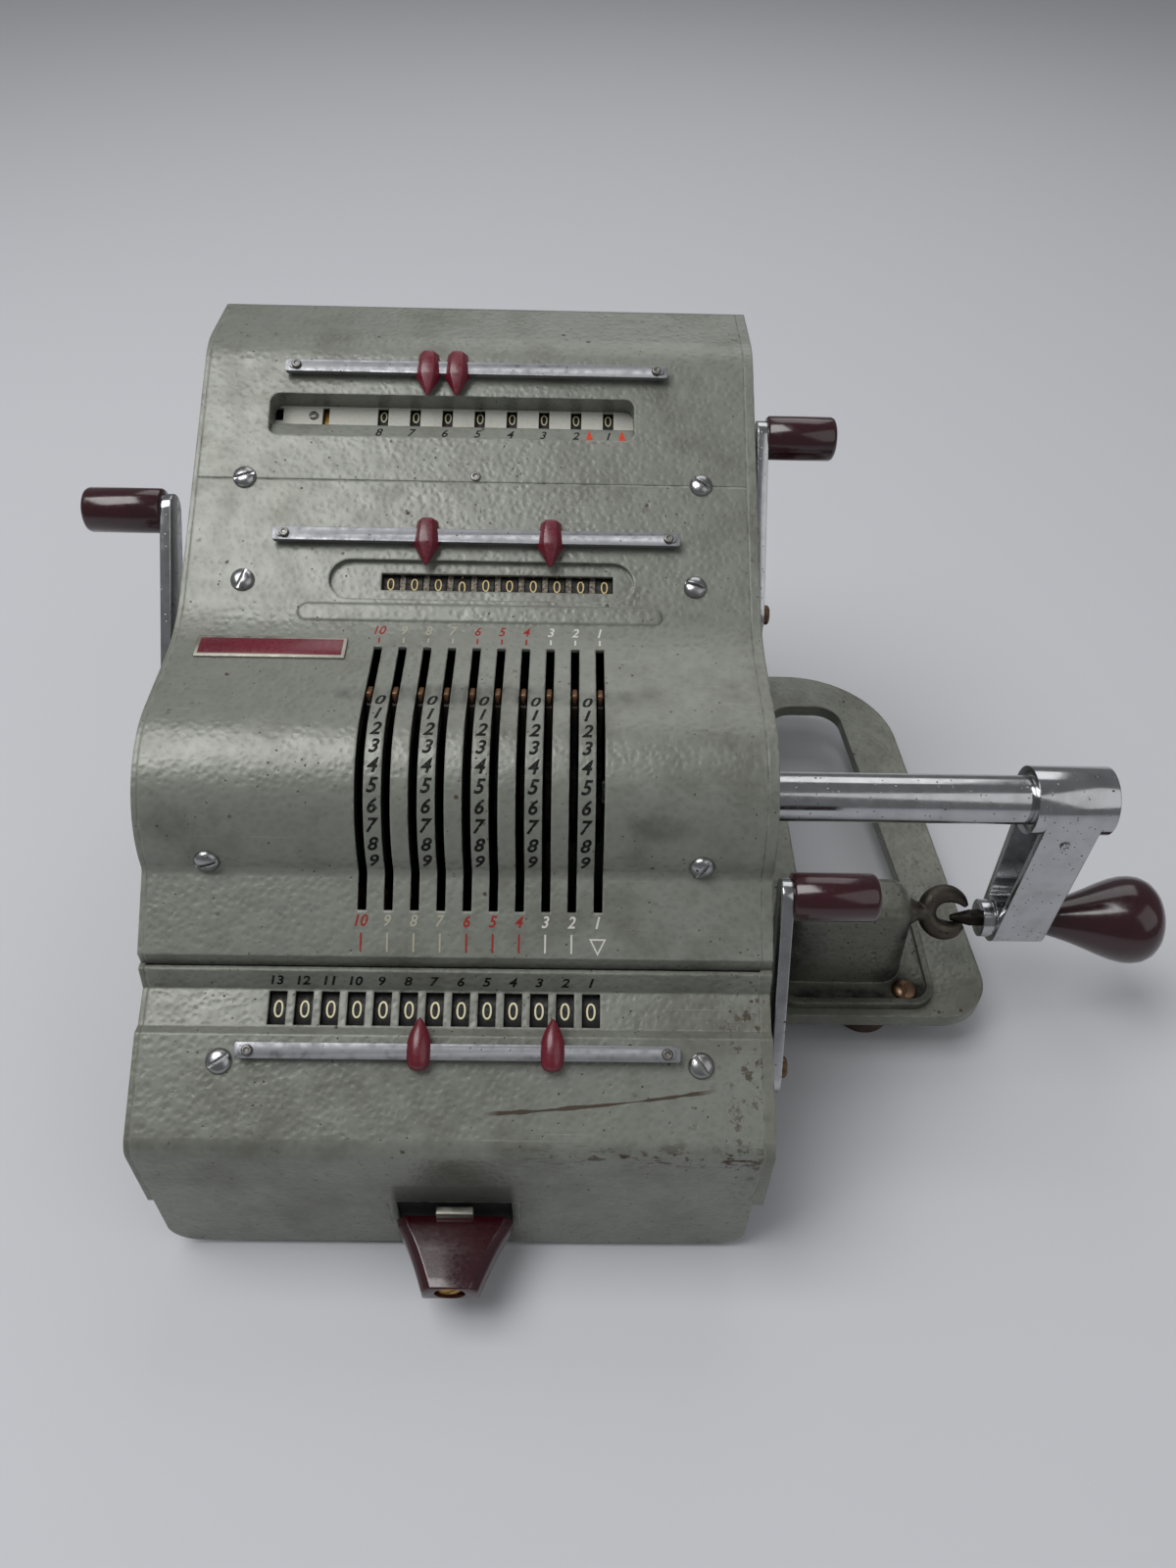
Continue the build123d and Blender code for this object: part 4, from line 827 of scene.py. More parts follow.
class CALC_OT_setting_numbers(bpy.types.Operator):
    """Figures and marks printed round the setting slots"""
    bl_idname = "calculator.setting_numbers"
    bl_label = "Setting numbers"

    def execute(self, context):
        sizes = context.scene.calculator_sizes
        high = sizes.setting_figure / MM
        digits = []
        for digit in range(10):
            glyph = figure(str(digit), high, 0.95, 0.28, 0.05, 0.14)
            bent(glyph, COVER_RADIUS)
            for column in range(5):
                x = FIRST_SLOT_X - (9 - 2 * column) * SLOT_PITCH + SLOT_PITCH / 2
                twin = copied(glyph, "digit")
                angle = 10 * digit - 8
                spot = hollow_matrix(x, 4.3, 0.03) if angle < 0 else drum_matrix(x, angle, 0.03)
                twin.data.transform(spot)
                digits.append(twin)
            bpy.data.objects.remove(glyph)
        seat(joined(digits, "setting_figures"), "base", finish("black_print"))
        high = sizes.slot_number / MM
        red, white, faded = [], [], []
        for number in range(1, SLOT_COUNT + 1):
            x = FIRST_SLOT_X - (number - 1) * SLOT_PITCH
            marks = red if number in (4, 5, 6, 10) else faded if number > 6 else white
            upper = figure(str(number), 0.95 * high, 0.9, 0.25, 0.05, 0.06)
            lower = figure(str(number), high, 0.9, 0.25, 0.05, 0.09)
            upper.data.transform(hollow_matrix(x, 33.0, 0.03))
            lower.data.transform(lip_matrix(x, -40.6, 0.03))
            short = block("tick", (-0.25, -0.95, 0), (0.25, 0.95, 0.05))
            short.data.transform(hollow_matrix(x, 29.4, 0.03))
            marks += [upper, lower, short]
            if number > 1:
                tick = block("tick", (-0.24, -2.5, 0), (0.24, 2.5, 0.05))
                tick.data.transform(lip_matrix(x, -45.1, 0.03))
            else:
                tick = pointer("units_pointer", 4.6, 5.2, 0.4)
                tick.data.transform(lip_matrix(x, -45.1, 0.03))
            marks.append(tick)
        seat(joined(red, "slot_numbers_red"), "base", finish("red_print"))
        seat(joined(white, "slot_numbers_white"), "base", finish("white_print"))
        seat(joined(faded, "slot_numbers_faded"), "base", finish("faded_print"))
        return {"FINISHED"}


class CALC_OT_window_numbers(bpy.types.Operator):
    """Numbers that count the places over the result windows and under the counter windows"""
    bl_idname = "calculator.window_numbers"
    bl_label = "Window numbers"

    def execute(self, context):
        high = context.scene.calculator_sizes.window_number / MM
        run = Vector((0, BAND_TOP[0] - BAND_FOOT[0], BAND_TOP[1] - BAND_FOOT[1]))
        normal = Vector((1, 0, 0)).cross(run).normalized()
        middle = ((BAND_TOP[0] + BAND_FOOT[0]) / 2, (BAND_TOP[1] + BAND_FOOT[1]) / 2)
        marks = []
        for number in range(1, 14):
            mark = figure(str(number), high, 0.95, 0.25, 0.05, 0.11)
            spot = place(RESULT_PLACES[number - 1], *middle) + normal * 0.03 * MM
            mark.data.transform(axes(spot, (1, 0, 0), normal))
            marks.append(mark)
        seat(joined(marks, "result_place_numbers"), "carriage", finish("black_print"))
        marks = []
        run = Vector((0, STRIP_TOP[0] - STRIP_FOOT[0], STRIP_TOP[1] - STRIP_FOOT[1]))
        middle = Vector((0, STRIP_TOP[0] + STRIP_FOOT[0], STRIP_TOP[1] + STRIP_FOOT[1])) / 2
        strip = well_matrix(0, middle.y, middle.z, atan2(-run.z, -run.y))
        strip = strip @ Matrix.Translation((0, 0, 0.04 * MM))
        for number in range(1, 9):
            mark = figure(str(number), 0.95 * high, 0.95, 0.25, 0.05, 0.03)
            mark.data.transform(strip @ Matrix.Translation((COUNTER_PLACES[number - 1] * MM, 0, 0)))
            marks.append(mark)
        seat(joined(marks, "counter_place_numbers"), "base", finish("black_print"))
        arrows = []
        for x in (34.6, 44.6):
            arrow = block("arrow", (-1.1, -1.9, 0), (1.1, 1.9, 0.08))
            edit(arrow, "VERT")
            select_where("VERT", lambda co, normal: co.y > 0)
            bpy.ops.transform.resize(value=(0.15, 1, 1))
            close_edit()
            arrow.data.transform(strip @ Matrix.Translation((x * MM, 0, 0)))
            arrows.append(arrow)
        seat(joined(arrows, "counter_arrows"), "base", finish("orange_print"))
        return {"FINISHED"}


# ---- number wheels
SMALL_WHEEL_RADIUS = 8.0
RESULT_WHEEL_RADIUS = 11.5
WHEEL_WIDTH = 5.0
RESULT_WINDOW_ANGLE = atan2(4.3, 8.8)
LAZY_WHEEL, LAZY_ANGLE = 7, radians(5.0)


def figure_ring(height, radius, name):
    """The ten figures round a wheel whose axis is x: nought faces +Z, and 36 degrees bring the next."""
    ring = []
    for digit in range(10):
        glyph = figure(str(digit), height, 0.88, 0.0, 0.08, -0.06)
        sliced(glyph, height, 8)
        bent(glyph, radius)
        lift = Matrix.Translation((0, 0, (radius + 0.02) * MM))
        glyph.data.transform(Matrix.Rotation(radians(-36 * digit), 4, "X") @ lift)
        ring.append(glyph)
    return joined(ring, name)


def wheel_blank(name, radius):
    half = WHEEL_WIDTH / 2
    rim = radius - 0.05
    web = rim - 1.1
    side = [(half, 3.0), (half - 0.3, 3.2), (half - 0.32, web - 0.3), (half, web), (half, rim - 0.2),
            (half - 0.2, rim)]
    wheel = turned(name, [(-height, reach) for height, reach in side] + side[::-1], 60)
    wheel.data.transform(Matrix.Rotation(pi / 2, 4, "Y"))
    smooth(wheel)
    return wheel


class CALC_OT_number_wheels(bpy.types.Operator):
    """Number wheels of the three registers, with all ten figures"""
    bl_idname = "calculator.number_wheels"
    bl_label = "Number wheels"

    def execute(self, context):
        sizes = context.scene.calculator_sizes
        large = wheel_blank("large_wheel", RESULT_WHEEL_RADIUS)
        small = wheel_blank("small_wheel", SMALL_WHEEL_RADIUS)
        large_ring = figure_ring(sizes.wheel_figure / MM, RESULT_WHEEL_RADIUS, "large_figures")
        small_ring = figure_ring(sizes.small_figure / MM, SMALL_WHEEL_RADIUS, "small_figures")
        spread = [
            ("result", RESULT_AXIS, RESULT_WINDOW_ANGLE, RESULT_PLACES, large, large_ring),
            ("counter", COUNTER_AXIS, SLOPE_ANGLE - radians(5.0), COUNTER_PLACES, small, small_ring),
            ("control", CONTROL_AXIS, SLOPE_ANGLE, CONTROL_PLACES, small, small_ring),
        ]
        for kind, axis, tilt, spots, blank, ring in spread:
            wheels, rings = [], []
            for number, x in enumerate(spots):
                lazy = LAZY_ANGLE if (kind, number + 1) == ("control", LAZY_WHEEL) else 0.0
                at = Matrix.Translation((place(x, 0, 0).x, axis.y, axis.z))
                at = at @ Matrix.Rotation(tilt + lazy, 4, "X")
                wheel = copied(blank, f"{kind}_wheel_{number + 1:02d}_turned")
                shown = copied(ring, f"{kind}_figures_{number + 1:02d}")
                if kind == "control":
                    body = f"control_wheel_{number + 1:02d}"
                    seat(wheel, body, finish("wheel_plastic"), at)
                    seat(shown, body, finish("golden_figures"), at)
                    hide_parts(body)
                else:
                    wheel.data.transform(at)
                    shown.data.transform(at)
                    wheels.append(wheel)
                    rings.append(shown)
            if wheels:
                body = f"{kind}_wheels"
                whole = joined(wheels, f"{kind}_wheels_turned")
                seat(whole, body, finish("wheel_plastic"))
                seat(joined(rings, f"{kind}_wheel_figures"), body, finish("cream_figures"))
                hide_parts(body)
        for used in (large, small, large_ring, small_ring):
            bpy.data.objects.remove(used)
        side = [(0.86, 2.6), (0.86, 7.65), (0.7, 7.8)]
        collar = turned("spacer", [(-height, reach) for height, reach in side] + side[::-1], 48)
        collar.data.transform(Matrix.Rotation(pi / 2, 4, "Y"))
        collars = []
        for number in range(11):
            twin = copied(collar, "spacer")
            x = place(CONTROL_PLACES[0] + SLOT_PITCH / 2 - SLOT_PITCH * number, 0, 0).x
            twin.data.transform(Matrix.Translation((x, CONTROL_AXIS.y, CONTROL_AXIS.z)))
            collars.append(twin)
        bpy.data.objects.remove(collar)
        seat(joined(collars, "control_spacers"), "base", finish("dusty_spacer"))
        return {"FINISHED"}


class CALC_OT_counter_well(bpy.types.Operator):
    """The counter's light plate and number strip, and what shows behind its slit and key hole"""
    bl_idname = "calculator.counter_well"
    bl_label = "Counter well"

    def execute(self, context):
        half = COUNTER_WELL_WIDTH / 2
        matrix = well_matrix(0, 0, -COUNTER_WELL_DEPTH)
        left, right = COUNTER_WELL_X - half, COUNTER_WELL_X + half
        plate = block("counter_plate_cut", (left - 1, -8.0, -1.2), (right + 1, 8.0, 0.0))
        holes = [(x, 3.3, 0.9, 7.1) for x in COUNTER_PLACES]
        holes += [(-47.2, 2.1, 0.9, 6.9), (-62.4, 4.1, 2.1, 6.5)]
        for x, wide, low, high in holes:
            cut(plate, block("window", (x - wide / 2, low, -3), (x + wide / 2, high, 3)))
        modify(plate, "BEVEL", width=0.15 * MM, segments=2, limit_method="ANGLE")
        smooth(plate)
        seat(plate, "base", finish("light_lacquer"), matrix)
        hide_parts("counter_plate")
        front = block("counter_number_strip", (left, STRIP_TOP[0], -0.2), (right, STRIP_FOOT[0], 1.0))
        for vertex in front.data.vertices:
            if vertex.co.z > 0:
                lower = vertex.co.y < (STRIP_TOP[0] + STRIP_FOOT[0]) / 2 * MM
                vertex.co.z = ((STRIP_TOP if lower else STRIP_FOOT)[1] + COUNTER_WELL_DEPTH) * MM
        seat(front, "base", finish("hammertone_enamel"), matrix)
        matrix = well_matrix(0, COUNTER_WINDOW_RISE, -COUNTER_WELL_DEPTH)
        strip = block("counter_brass_strip", (-48.6, -3.4, -3.2), (-45.4, 3.4, -2.4))
        modify(strip, "BEVEL", width=0.2 * MM, segments=2, limit_method="ANGLE")
        seat(strip, "base", finish("bright_brass"), matrix)
        back = block("counter_key_back", (-65.2, -3.4, -4.2), (-59.6, 3.4, -3.4))
        modify(back, "BEVEL", width=0.2 * MM, segments=2, limit_method="ANGLE")
        seat(back, "base", finish("wheel_plastic"), matrix)
        return {"FINISHED"}


TIP_ANGLE = radians(-16.0)


class CALC_OT_lever_tips(bpy.types.Operator):
    """The rubbed finger tips of the setting levers, standing in their slots"""
    bl_idname = "calculator.lever_tips"
    bl_label = "Lever tips"

    def execute(self, context):
        tip = block("lever_tip", (-0.75, -2.2, COVER_RADIUS - 3.0), (0.75, 2.2, COVER_RADIUS + 1.1))
        modify(tip, "BEVEL", width=0.45 * MM, segments=3, limit_method="ANGLE")
        smooth(tip, 40)
        for number in range(1, SLOT_COUNT + 1):
            twin = copied(tip, f"setting_tip_{number:02d}")
            x = FIRST_SLOT_X - (number - 1) * SLOT_PITCH
            seat(twin, f"setting_lever_{number:02d}", finish("dull_brass"),
                 Matrix.Translation(place(x, 0, 0)) @ Matrix.Rotation(TIP_ANGLE, 4, "X"))
        bpy.data.objects.remove(tip)
        return {"FINISHED"}


# ---- handles
class CALC_OT_crank_knob(bpy.types.Operator):
    """The pear-shaped crank handle"""
    bl_idname = "calculator.crank_knob"
    bl_label = "Crank knob"

    def execute(self, context):
        low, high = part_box("crank_knob")
        long = (high.x - low.x) / MM
        wide = (high.y - low.y) / MM / 2
        shape = [(0.0, 0.3), (0.008, 0.34), (0.04, 0.37), (0.14, 0.45), (0.26, 0.56), (0.38, 0.69),
                 (0.5, 0.83), (0.6, 0.93), (0.68, 0.985), (0.75, 1.0), (0.82, 0.98), (0.885, 0.9),
                 (0.935, 0.77), (0.97, 0.6), (0.992, 0.38), (1.0, 0.12)]
        knob = turned("crank_knob_turned", [(share * long, radius * wide) for share, radius in shape], 64)
        smooth(knob, 60)
        middle = Vector((low.x, (low.y + high.y) / 2, (low.z + high.z) / 2))
        seat(knob, "crank_knob", finish("maroon_plastic"), axes(middle, (0, 0, 1), (1, 0, 0)))
        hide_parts("crank_knob")
        return {"FINISHED"}


class CALC_OT_grips(bpy.types.Operator):
    """Cylindrical grips on the three clearing levers"""
    bl_idname = "calculator.grips"
    bl_label = "Lever grips"

    def execute(self, context):
        for name, side in (("left", -1), ("counter", 1), ("result", 1)):
            low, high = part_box(f"{name}_lever_grip")
            radius = (high.y - low.y) / MM / 2
            long = (high.x - low.x) / MM
            grip = turned(f"{name}_grip_turned", [
                (0, radius - 0.5), (0.5, radius - 0.05), (long / 2, radius), (long - 1.6, radius - 0.05),
                (long - 0.7, radius - 0.45), (long - 0.15, radius - 1.5), (long, radius - 2.6), (long, 0.6),
            ], 48)
            smooth(grip, 60)
            start = Vector((low.x if side > 0 else high.x, (low.y + high.y) / 2, (low.z + high.z) / 2))
            matrix = axes(start, (0, 0, 1), (side, 0, 0))
            seat(grip, f"{name}_lever", finish("maroon_plastic"), matrix)
            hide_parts(f"{name}_lever_grip")
        return {"FINISHED"}


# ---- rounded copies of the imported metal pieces
def rounded_copy(node, name, width):
    """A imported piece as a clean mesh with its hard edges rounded."""
    piece = copied(frame["nodes"][node], name)
    edit(piece)
    bpy.ops.mesh.select_all(action="SELECT")
    bpy.ops.mesh.remove_doubles(threshold=0.002 * MM)
    bpy.ops.mesh.dissolve_limited(angle_limit=radians(1.0))
    close_edit()
    modify(piece, "BEVEL", width=width * MM, segments=3, limit_method="ANGLE", angle_limit=radians(32),
           use_clamp_overlap=True, harden_normals=False)
    smooth(piece, 40)
    return piece


class CALC_OT_rounded_metal(bpy.types.Operator):
    """Levers, crank arm and marker rails with their pressed and cast edges rounded"""
    bl_idname = "calculator.rounded_metal"
    bl_label = "Rounded metal"

    def execute(self, context):
        pieces = [
            ("left_lever_arm", "left_lever", 0.9, "chromium_plate", "chrome"),
            ("counter_lever_arm", "counter_lever", 0.9, "chromium_plate", "chrome"),
            ("result_lever_arm", "result_lever", 0.9, "chromium_plate", "chrome"),
            ("crank_arm", "crank", 0.7, "chromium_plate", "chrome"),
            ("marker_rails", "base", 0.25, "rail_steel", "steel"),
            ("carriage_marker_rail", "carriage", 0.25, "rail_steel", "steel"),
        ]
        for node, body, width, material, slot in pieces:
            piece = rounded_copy(node, f"{node}_rounded", width)
            seat(piece, body, finish(material))
            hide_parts(node)
        return {"FINISHED"}


class CALC_OT_crank_hook(bpy.types.Operator):
    """The forged hook whose two horns hold the crank's lock pin"""
    bl_idname = "calculator.crank_hook"
    bl_label = "Crank hook"

    def execute(self, context):
        low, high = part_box("crank_catch")
        axis_y, axis_z = (low.y + high.y) / 2, (low.z + high.z) / 2
        middle = Vector((low.x + 11.9 * MM, axis_y + 1.0 * MM, axis_z + 1.8 * MM))
        across, up = Vector((1, 0, 0)), Vector((0, 0.62, 0.78))
        # Each station is an angle from the crank side, a reach from the middle and a radius.
        stations = [(14, 7.4, 0.8), (27, 7.0, 1.5), (46, 6.5, 2.2), (70, 6.1, 2.8), (100, 5.9, 3.1),
                    (140, 5.9, 3.2), (180, 5.7, 3.0), (215, 5.8, 3.1), (245, 6.0, 3.3), (272, 6.2, 3.3),
                    (294, 6.6, 2.9), (312, 7.0, 2.2), (324, 7.4, 1.3)]
        deselect()
        bpy.ops.curve.primitive_nurbs_path_add()
        path = bpy.context.active_object
        path.data.splines.clear()
        spline = path.data.splines.new("NURBS")
        spline.points.add(len(stations) - 1)
        for point, (turn, out, thick) in zip(spline.points, stations):
            spot = middle + (across * cos(radians(turn)) + up * sin(radians(turn))) * out * MM
            point.co = (*spot, 1)
            point.radius = thick
        spline.order_u = 3
        spline.use_endpoint_u = True
        path.data.bevel_depth = 1 * MM
        path.data.bevel_resolution = 5
        path.data.use_fill_caps = True
        bpy.ops.object.convert(target="MESH")
        hook = bpy.context.active_object
        hook.name = hook.data.name = "crank_hook"
        stem = turned("hook_stem", [(-0.2, 4.4), (1.4, 4.3), (3.0, 3.2), (7.5, 2.8)], 32)
        root = Vector((low.x, middle.y, middle.z))
        stem.data.transform(axes(root, (0, 1, 0), (1, 0, 0)))
        hook = joined([hook, stem], "crank_hook")
        edit(hook)
        bpy.ops.mesh.select_all(action="SELECT")
        bpy.ops.mesh.remove_doubles(threshold=0.01 * MM)
        close_edit()
        smooth(hook, 60)
        seat(hook, "base", finish("worn_steel"))
        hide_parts("crank_catch")
        return {"FINISHED"}


RIVET_INSET = 2.3


class CALC_OT_rail_rivets(bpy.types.Operator):
    """Rivet heads at the ends of the three marker rails"""
    bl_idname = "calculator.rail_rivets"
    bl_label = "Rail rivets"

    def execute(self, context):
        rivet = turned("rail_rivet", [(-0.4, 1.45), (0.25, 1.45), (0.55, 1.2), (0.6, 0.75), (0.25, 0.6),
                                      (0.25, 0.1)], 24)
        smooth(rivet, 40)
        for node, body, tilt in (("marker_rails", "base", SLOPE_ANGLE),
                                 ("carriage_marker_rail", "carriage", CARRIAGE_ANGLE)):
            normal = Vector((0, -sin(tilt), cos(tilt)))
            low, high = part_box(node)
            spots = [vertex.co for vertex in frame["nodes"][node].data.vertices]
            split = (low.y + high.y) / 2
            rows = [spots]
            if body == "base":
                rows = [[p for p in spots if p.y < split], [p for p in spots if p.y > split]]
            for row, points in enumerate(rows):
                top = max(p.dot(normal) for p in points)
                face = [p for p in points if p.dot(normal) > top - 0.05 * MM]
                for side, x in (("left", min(p.x for p in face) + RIVET_INSET * MM),
                                ("right", max(p.x for p in face) - RIVET_INSET * MM)):
                    head = copied(rivet, f"rail_rivet_{body}_{row}_{side}")
                    spot = Vector((x, (min(p.y for p in face) + max(p.y for p in face)) / 2, 0))
                    spot.z = (top - spot.dot(normal)) / normal.z
                    seat(head, body, finish("stamped_steel"), axes(spot, (1, 0, 0), normal))
        bpy.data.objects.remove(rivet)
        return {"FINISHED"}


# ---- decimal markers
MARKER_MIDDLE = 6.8


class CALC_OT_markers(bpy.types.Operator):
    """Cut-gem markers of the two upper rails and round-nosed ones on the carriage"""
    bl_idname = "calculator.markers"
    bl_label = "Decimal markers"

    def execute(self, context):
        gem = [(-0.2, 2.5), (0.3, 3.1), (4.6, 3.75), (7.2, 3.95), (8.2, 3.7), (13.6, 0.75), (14.2, 0.3)]
        bullet = [(0, 1.2), (0.35, 2.0), (1.2, 2.75), (2.6, 3.15), (5.0, 3.25), (7.6, 3.15), (10.2, 2.3),
                  (12.3, 1.15), (13.3, 0.5), (13.6, 0.15)]
        for kind, shape, sides in (("counter", gem, 6), ("setting", gem, 6), ("result", bullet, 32)):
            tip = 1 if kind == "result" else -1
            for number in (1, 2):
                node = f"{kind}_marker_{number}"
                stations = [(station - MARKER_MIDDLE, radius) for station, radius in shape]
                piece = turned(f"{node}_moulded", stations, sides)
                if sides == 6:
                    piece.data.transform(Matrix.Rotation(pi / 6, 4, "Z"))
                piece.data.transform(Matrix.Rotation(-tip * pi / 2, 4, "X"))
                piece.data.transform(Matrix.Diagonal((1, 1, 0.78 if sides == 6 else 0.86, 1)))
                edit(piece)
                bpy.ops.mesh.select_all(action="SELECT")
                bpy.ops.mesh.bisect(plane_co=(0, 0, -2.3 * MM), plane_no=(0, 0, 1), use_fill=True,
                                    clear_inner=True)
                close_edit()
                modify(piece, "BEVEL", width=0.16 * MM, segments=2, limit_method="ANGLE",
                       angle_limit=radians(18))
                smooth(piece, 20 if sides == 6 else 60)
                low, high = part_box(node)
                tilt = CARRIAGE_ANGLE if kind == "result" else SLOPE_ANGLE
                middle = (low + high) / 2
                seat(piece, node, finish("marker_plastic"),
                     axes(middle, (1, 0, 0), (0, -sin(tilt), cos(tilt))))
                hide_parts(node)
        return {"FINISHED"}


# ---- shift knob
class CALC_OT_shift_knob(bpy.types.Operator):
    """The bevelled handle that shifts the carriage, its tab and nose screw, and the opening behind it, with a
    near-black plate for painted shade inside
    """
    bl_idname = "calculator.shift_knob"
    bl_label = "Shift knob"

    def execute(self, context):
        low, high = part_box("shift_knob")
        top = high.z / MM
        foot = low.z / MM
        rear = place(0, CARRIAGE_FRONT_Y - 1.2, 0).y / MM
        front = low.y / MM
        middle_x = (low.x + high.x) / 2 / MM
        knob = block("shift_knob_moulded", (middle_x - 16.4, front, foot), (middle_x + 16.4, rear, top))
        edit(knob, "EDGE")
        select_where("EDGE", lambda middle, run: abs(run.y) > 0.001)
        bpy.ops.mesh.subdivide(number_cuts=6)
        bpy.ops.object.mode_set(mode="OBJECT")
        deep = (rear - front) * MM
        for vertex in knob.data.vertices:
            share = (rear * MM - vertex.co.y) / deep
            wide = 1.0 - 0.535 * min(1.0, max(0.0, (share - 0.1) / 0.9)) ** 0.75
            vertex.co.x = middle_x * MM + (vertex.co.x - middle_x * MM) * wide
        edit(knob, "EDGE")
        select_where("EDGE", lambda middle, run: abs(run.y) > 0.3 * abs(run.x) and middle.z > (top - 0.5) * MM
                     and abs(middle.x - middle_x * MM) > 0.004)
        bpy.ops.mesh.bevel(offset=2.3 * MM, segments=1, affect="EDGES", clamp_overlap=True)
        close_edit()
        modify(knob, "BEVEL", width=0.5 * MM, segments=3, limit_method="ANGLE", angle_limit=radians(25))
        cut(knob, turned_along("nose_bore", (middle_x, front - 1.0, (top + foot) / 2), 3.0, 2.4, 1.4))
        smooth(knob, 40)
        seat(knob, "shift_knob", finish("maroon_plastic"))
        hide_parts("shift_knob")
        screw = screw_head("nose", 2.9, 0.7, 0.6)
        matrix = axes(Vector((middle_x, front + 1.2, (top + foot) / 2)) * MM, (1, 0, 0.8), (0, -1, 0))
        matrix = matrix @ Matrix.Diagonal((1.3, 1, 1, 1))
        seat(joined([screw], "shift_knob_screw"), "shift_knob", finish("bright_brass"), matrix)
        tab = block("shift_knob_tab", (middle_x - 5.2, rear - 0.7, top - 0.6),
                    (middle_x + 5.2, rear + 1.6, top + 2.3))
        modify(tab, "BEVEL", width=0.35 * MM, segments=3, limit_method="ANGLE")
        smooth(tab, 40)
        seat(tab, "shift_knob", finish("nickel_plate"))
        inside = CARRIAGE_FRONT_Y + 1.4
        for name, near, far in (("left", -18.0, -15.9), ("right", 15.9, 18.0)):
            cheek = block(f"knob_opening_cheek_{name}", (near, CARRIAGE_FRONT_Y, -85.5),
                          (far, CARRIAGE_FRONT_Y + 1.2, -70.5))
            seat(cheek, "carriage", finish("carriage_enamel"), Matrix.Translation(DRUM))
        # Painted shade: a near-black plate just inside the knob's opening.
        back = block("knob_opening_shade_plate", (-18.6, inside, -86.2), (18.6, inside + 0.6, -69.8))
        modify(back, "BEVEL", width=0.1 * MM, segments=2, limit_method="ANGLE")
        seat(back, "carriage", finish("opening_shade_black"), Matrix.Translation(DRUM))
        return {"FINISHED"}


def turned_along(name, start, radius, deep, stretch=1.0):
    """A plug that runs from a point towards the rear, for a bore."""
    plug = turned(name, [(0, radius), (deep, radius)], 32)
    plug.data.transform(Matrix.Diagonal((stretch, 1, 1, 1)))
    plug.data.transform(axes(Vector(start) * MM, (1, 0, 0), (0, 1, 0)))
    return plug


# ---- stage
class CALC_OT_stage(bpy.types.Operator):
    """Pale floor, soft studio light and the camera of the reference view"""
    bl_idname = "calculator.stage"
    bl_label = "Stage"

    def execute(self, context):
        deselect()
        bpy.ops.mesh.primitive_plane_add(size=8, location=(0, 0, 0))
        floor = bpy.context.active_object
        floor.name = "floor"
        start_finish("pale_floor", Roughness=0.8, Base_Color=shade(linear("cbccd0")))
        floor.data.materials.append(finish("pale_floor"))
        for name, spot, size, power in (
            ("key_light", (-0.62, -0.12, 1.42), 0.95, 15.0),
            ("fill_light", (0.9, -0.7, 1.0), 1.2, 3.0),
            ("back_light", (0.15, 1.0, 1.1), 0.9, 3.2),
        ):
            light = bpy.data.lights.new(name, "AREA")
            light.energy = power
            light.size = size
            lamp = bpy.data.objects.new(name, light)
            lamp.location = spot
            lamp.rotation_euler = (Vector((0, 0, 0.08)) - Vector(spot)).to_track_quat("-Z", "Y").to_euler()
            context.scene.collection.objects.link(lamp)
        world = bpy.data.worlds.new("soft_room")
        world.use_nodes = True
        background = world.node_tree.nodes["Background"]
        background.inputs["Color"].default_value = shade(linear("e6e8ec"))
        background.inputs["Strength"].default_value = 0.24
        context.scene.world = world

        pitch, yaw, roll = radians(44.67), radians(0.97), 0.0145
        focal = 1180 / 1600 * 36
        data = bpy.data.cameras.new("reference_view")
        data.sensor_width = 36
        data.lens = focal
        data.clip_start = 0.01
        camera = bpy.data.objects.new("reference_view", data)
        context.scene.collection.objects.link(camera)
        forward = Vector((0, cos(pitch), -sin(pitch)))
        right = Vector((1, 0, 0))
        up = Vector((0, sin(pitch), cos(pitch)))
        forward, right = cos(yaw) * forward + sin(yaw) * right, cos(yaw) * right - sin(yaw) * forward
        right, up = cos(roll) * right + sin(roll) * up, cos(roll) * up - sin(roll) * right
        turn = Matrix((right, up, -forward)).transposed().to_4x4()
        camera.matrix_world = Matrix.Translation(place(29.75, -234.2, 235.4)) @ turn
        context.scene.camera = camera
        context.scene.view_settings.view_transform = "Standard"
        return {"FINISHED"}


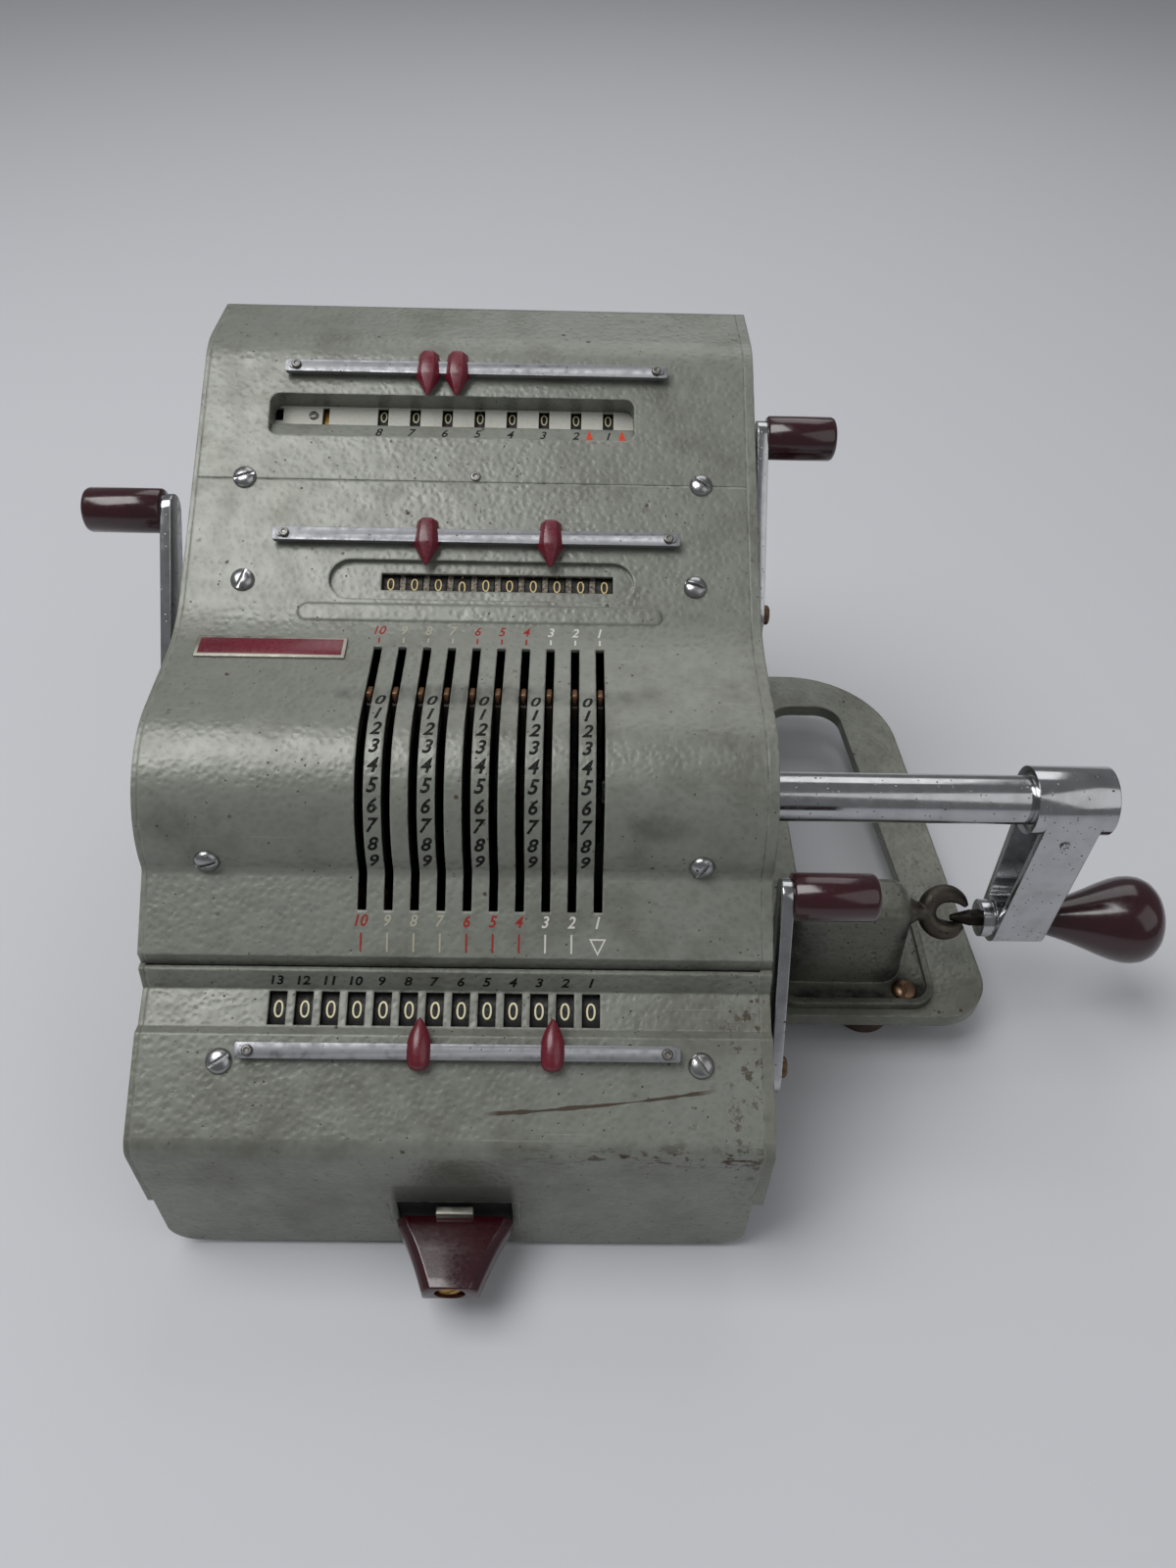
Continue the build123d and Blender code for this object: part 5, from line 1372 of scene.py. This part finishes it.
STEPS = (
    CALC_OT_finishes,
    CALC_OT_screws,
    CALC_OT_name_place,
    CALC_OT_setting_numbers,
    CALC_OT_window_numbers,
    CALC_OT_number_wheels,
    CALC_OT_counter_well,
    CALC_OT_lever_tips,
    CALC_OT_crank_knob,
    CALC_OT_grips,
    CALC_OT_rounded_metal,
    CALC_OT_crank_hook,
    CALC_OT_rail_rivets,
    CALC_OT_markers,
    CALC_OT_shift_knob,
    CALC_OT_stage,
)


class CALC_PT_sidebar(bpy.types.Panel):
    """Lists the pieces in the order they are made"""
    bl_idname = "CALC_PT_sidebar"
    bl_label = "Pinwheel calculator"
    bl_space_type = "VIEW_3D"
    bl_region_type = "UI"
    bl_category = "Calculator"

    def draw(self, context):
        for group in (context.scene.calculator_sizes, context.scene.calculator_colours):
            for name in group.__annotations__:
                self.layout.prop(group, name)
        for step in STEPS:
            self.layout.operator(step.bl_idname)


CLASSES = (CALC_PG_colours, CALC_PG_sizes, *STEPS, CALC_PT_sidebar)


def register():
    for cls in CLASSES:
        bpy.utils.register_class(cls)
    bpy.types.Scene.calculator_colours = PointerProperty(type=CALC_PG_colours)
    bpy.types.Scene.calculator_sizes = PointerProperty(type=CALC_PG_sizes)


def unregister():
    del bpy.types.Scene.calculator_sizes
    del bpy.types.Scene.calculator_colours
    for cls in reversed(CLASSES):
        bpy.utils.unregister_class(cls)


def main():
    register()
    bpy.ops.calculator.finishes()
    bpy.ops.calculator.screws()
    bpy.ops.calculator.name_place()
    bpy.ops.calculator.setting_numbers()
    bpy.ops.calculator.window_numbers()
    bpy.ops.calculator.number_wheels()
    bpy.ops.calculator.counter_well()
    bpy.ops.calculator.lever_tips()
    bpy.ops.calculator.crank_knob()
    bpy.ops.calculator.grips()
    bpy.ops.calculator.rounded_metal()
    bpy.ops.calculator.crank_hook()
    bpy.ops.calculator.rail_rivets()
    bpy.ops.calculator.markers()
    bpy.ops.calculator.shift_knob()
    bpy.ops.calculator.stage()


if __name__ == "__main__":
    main()
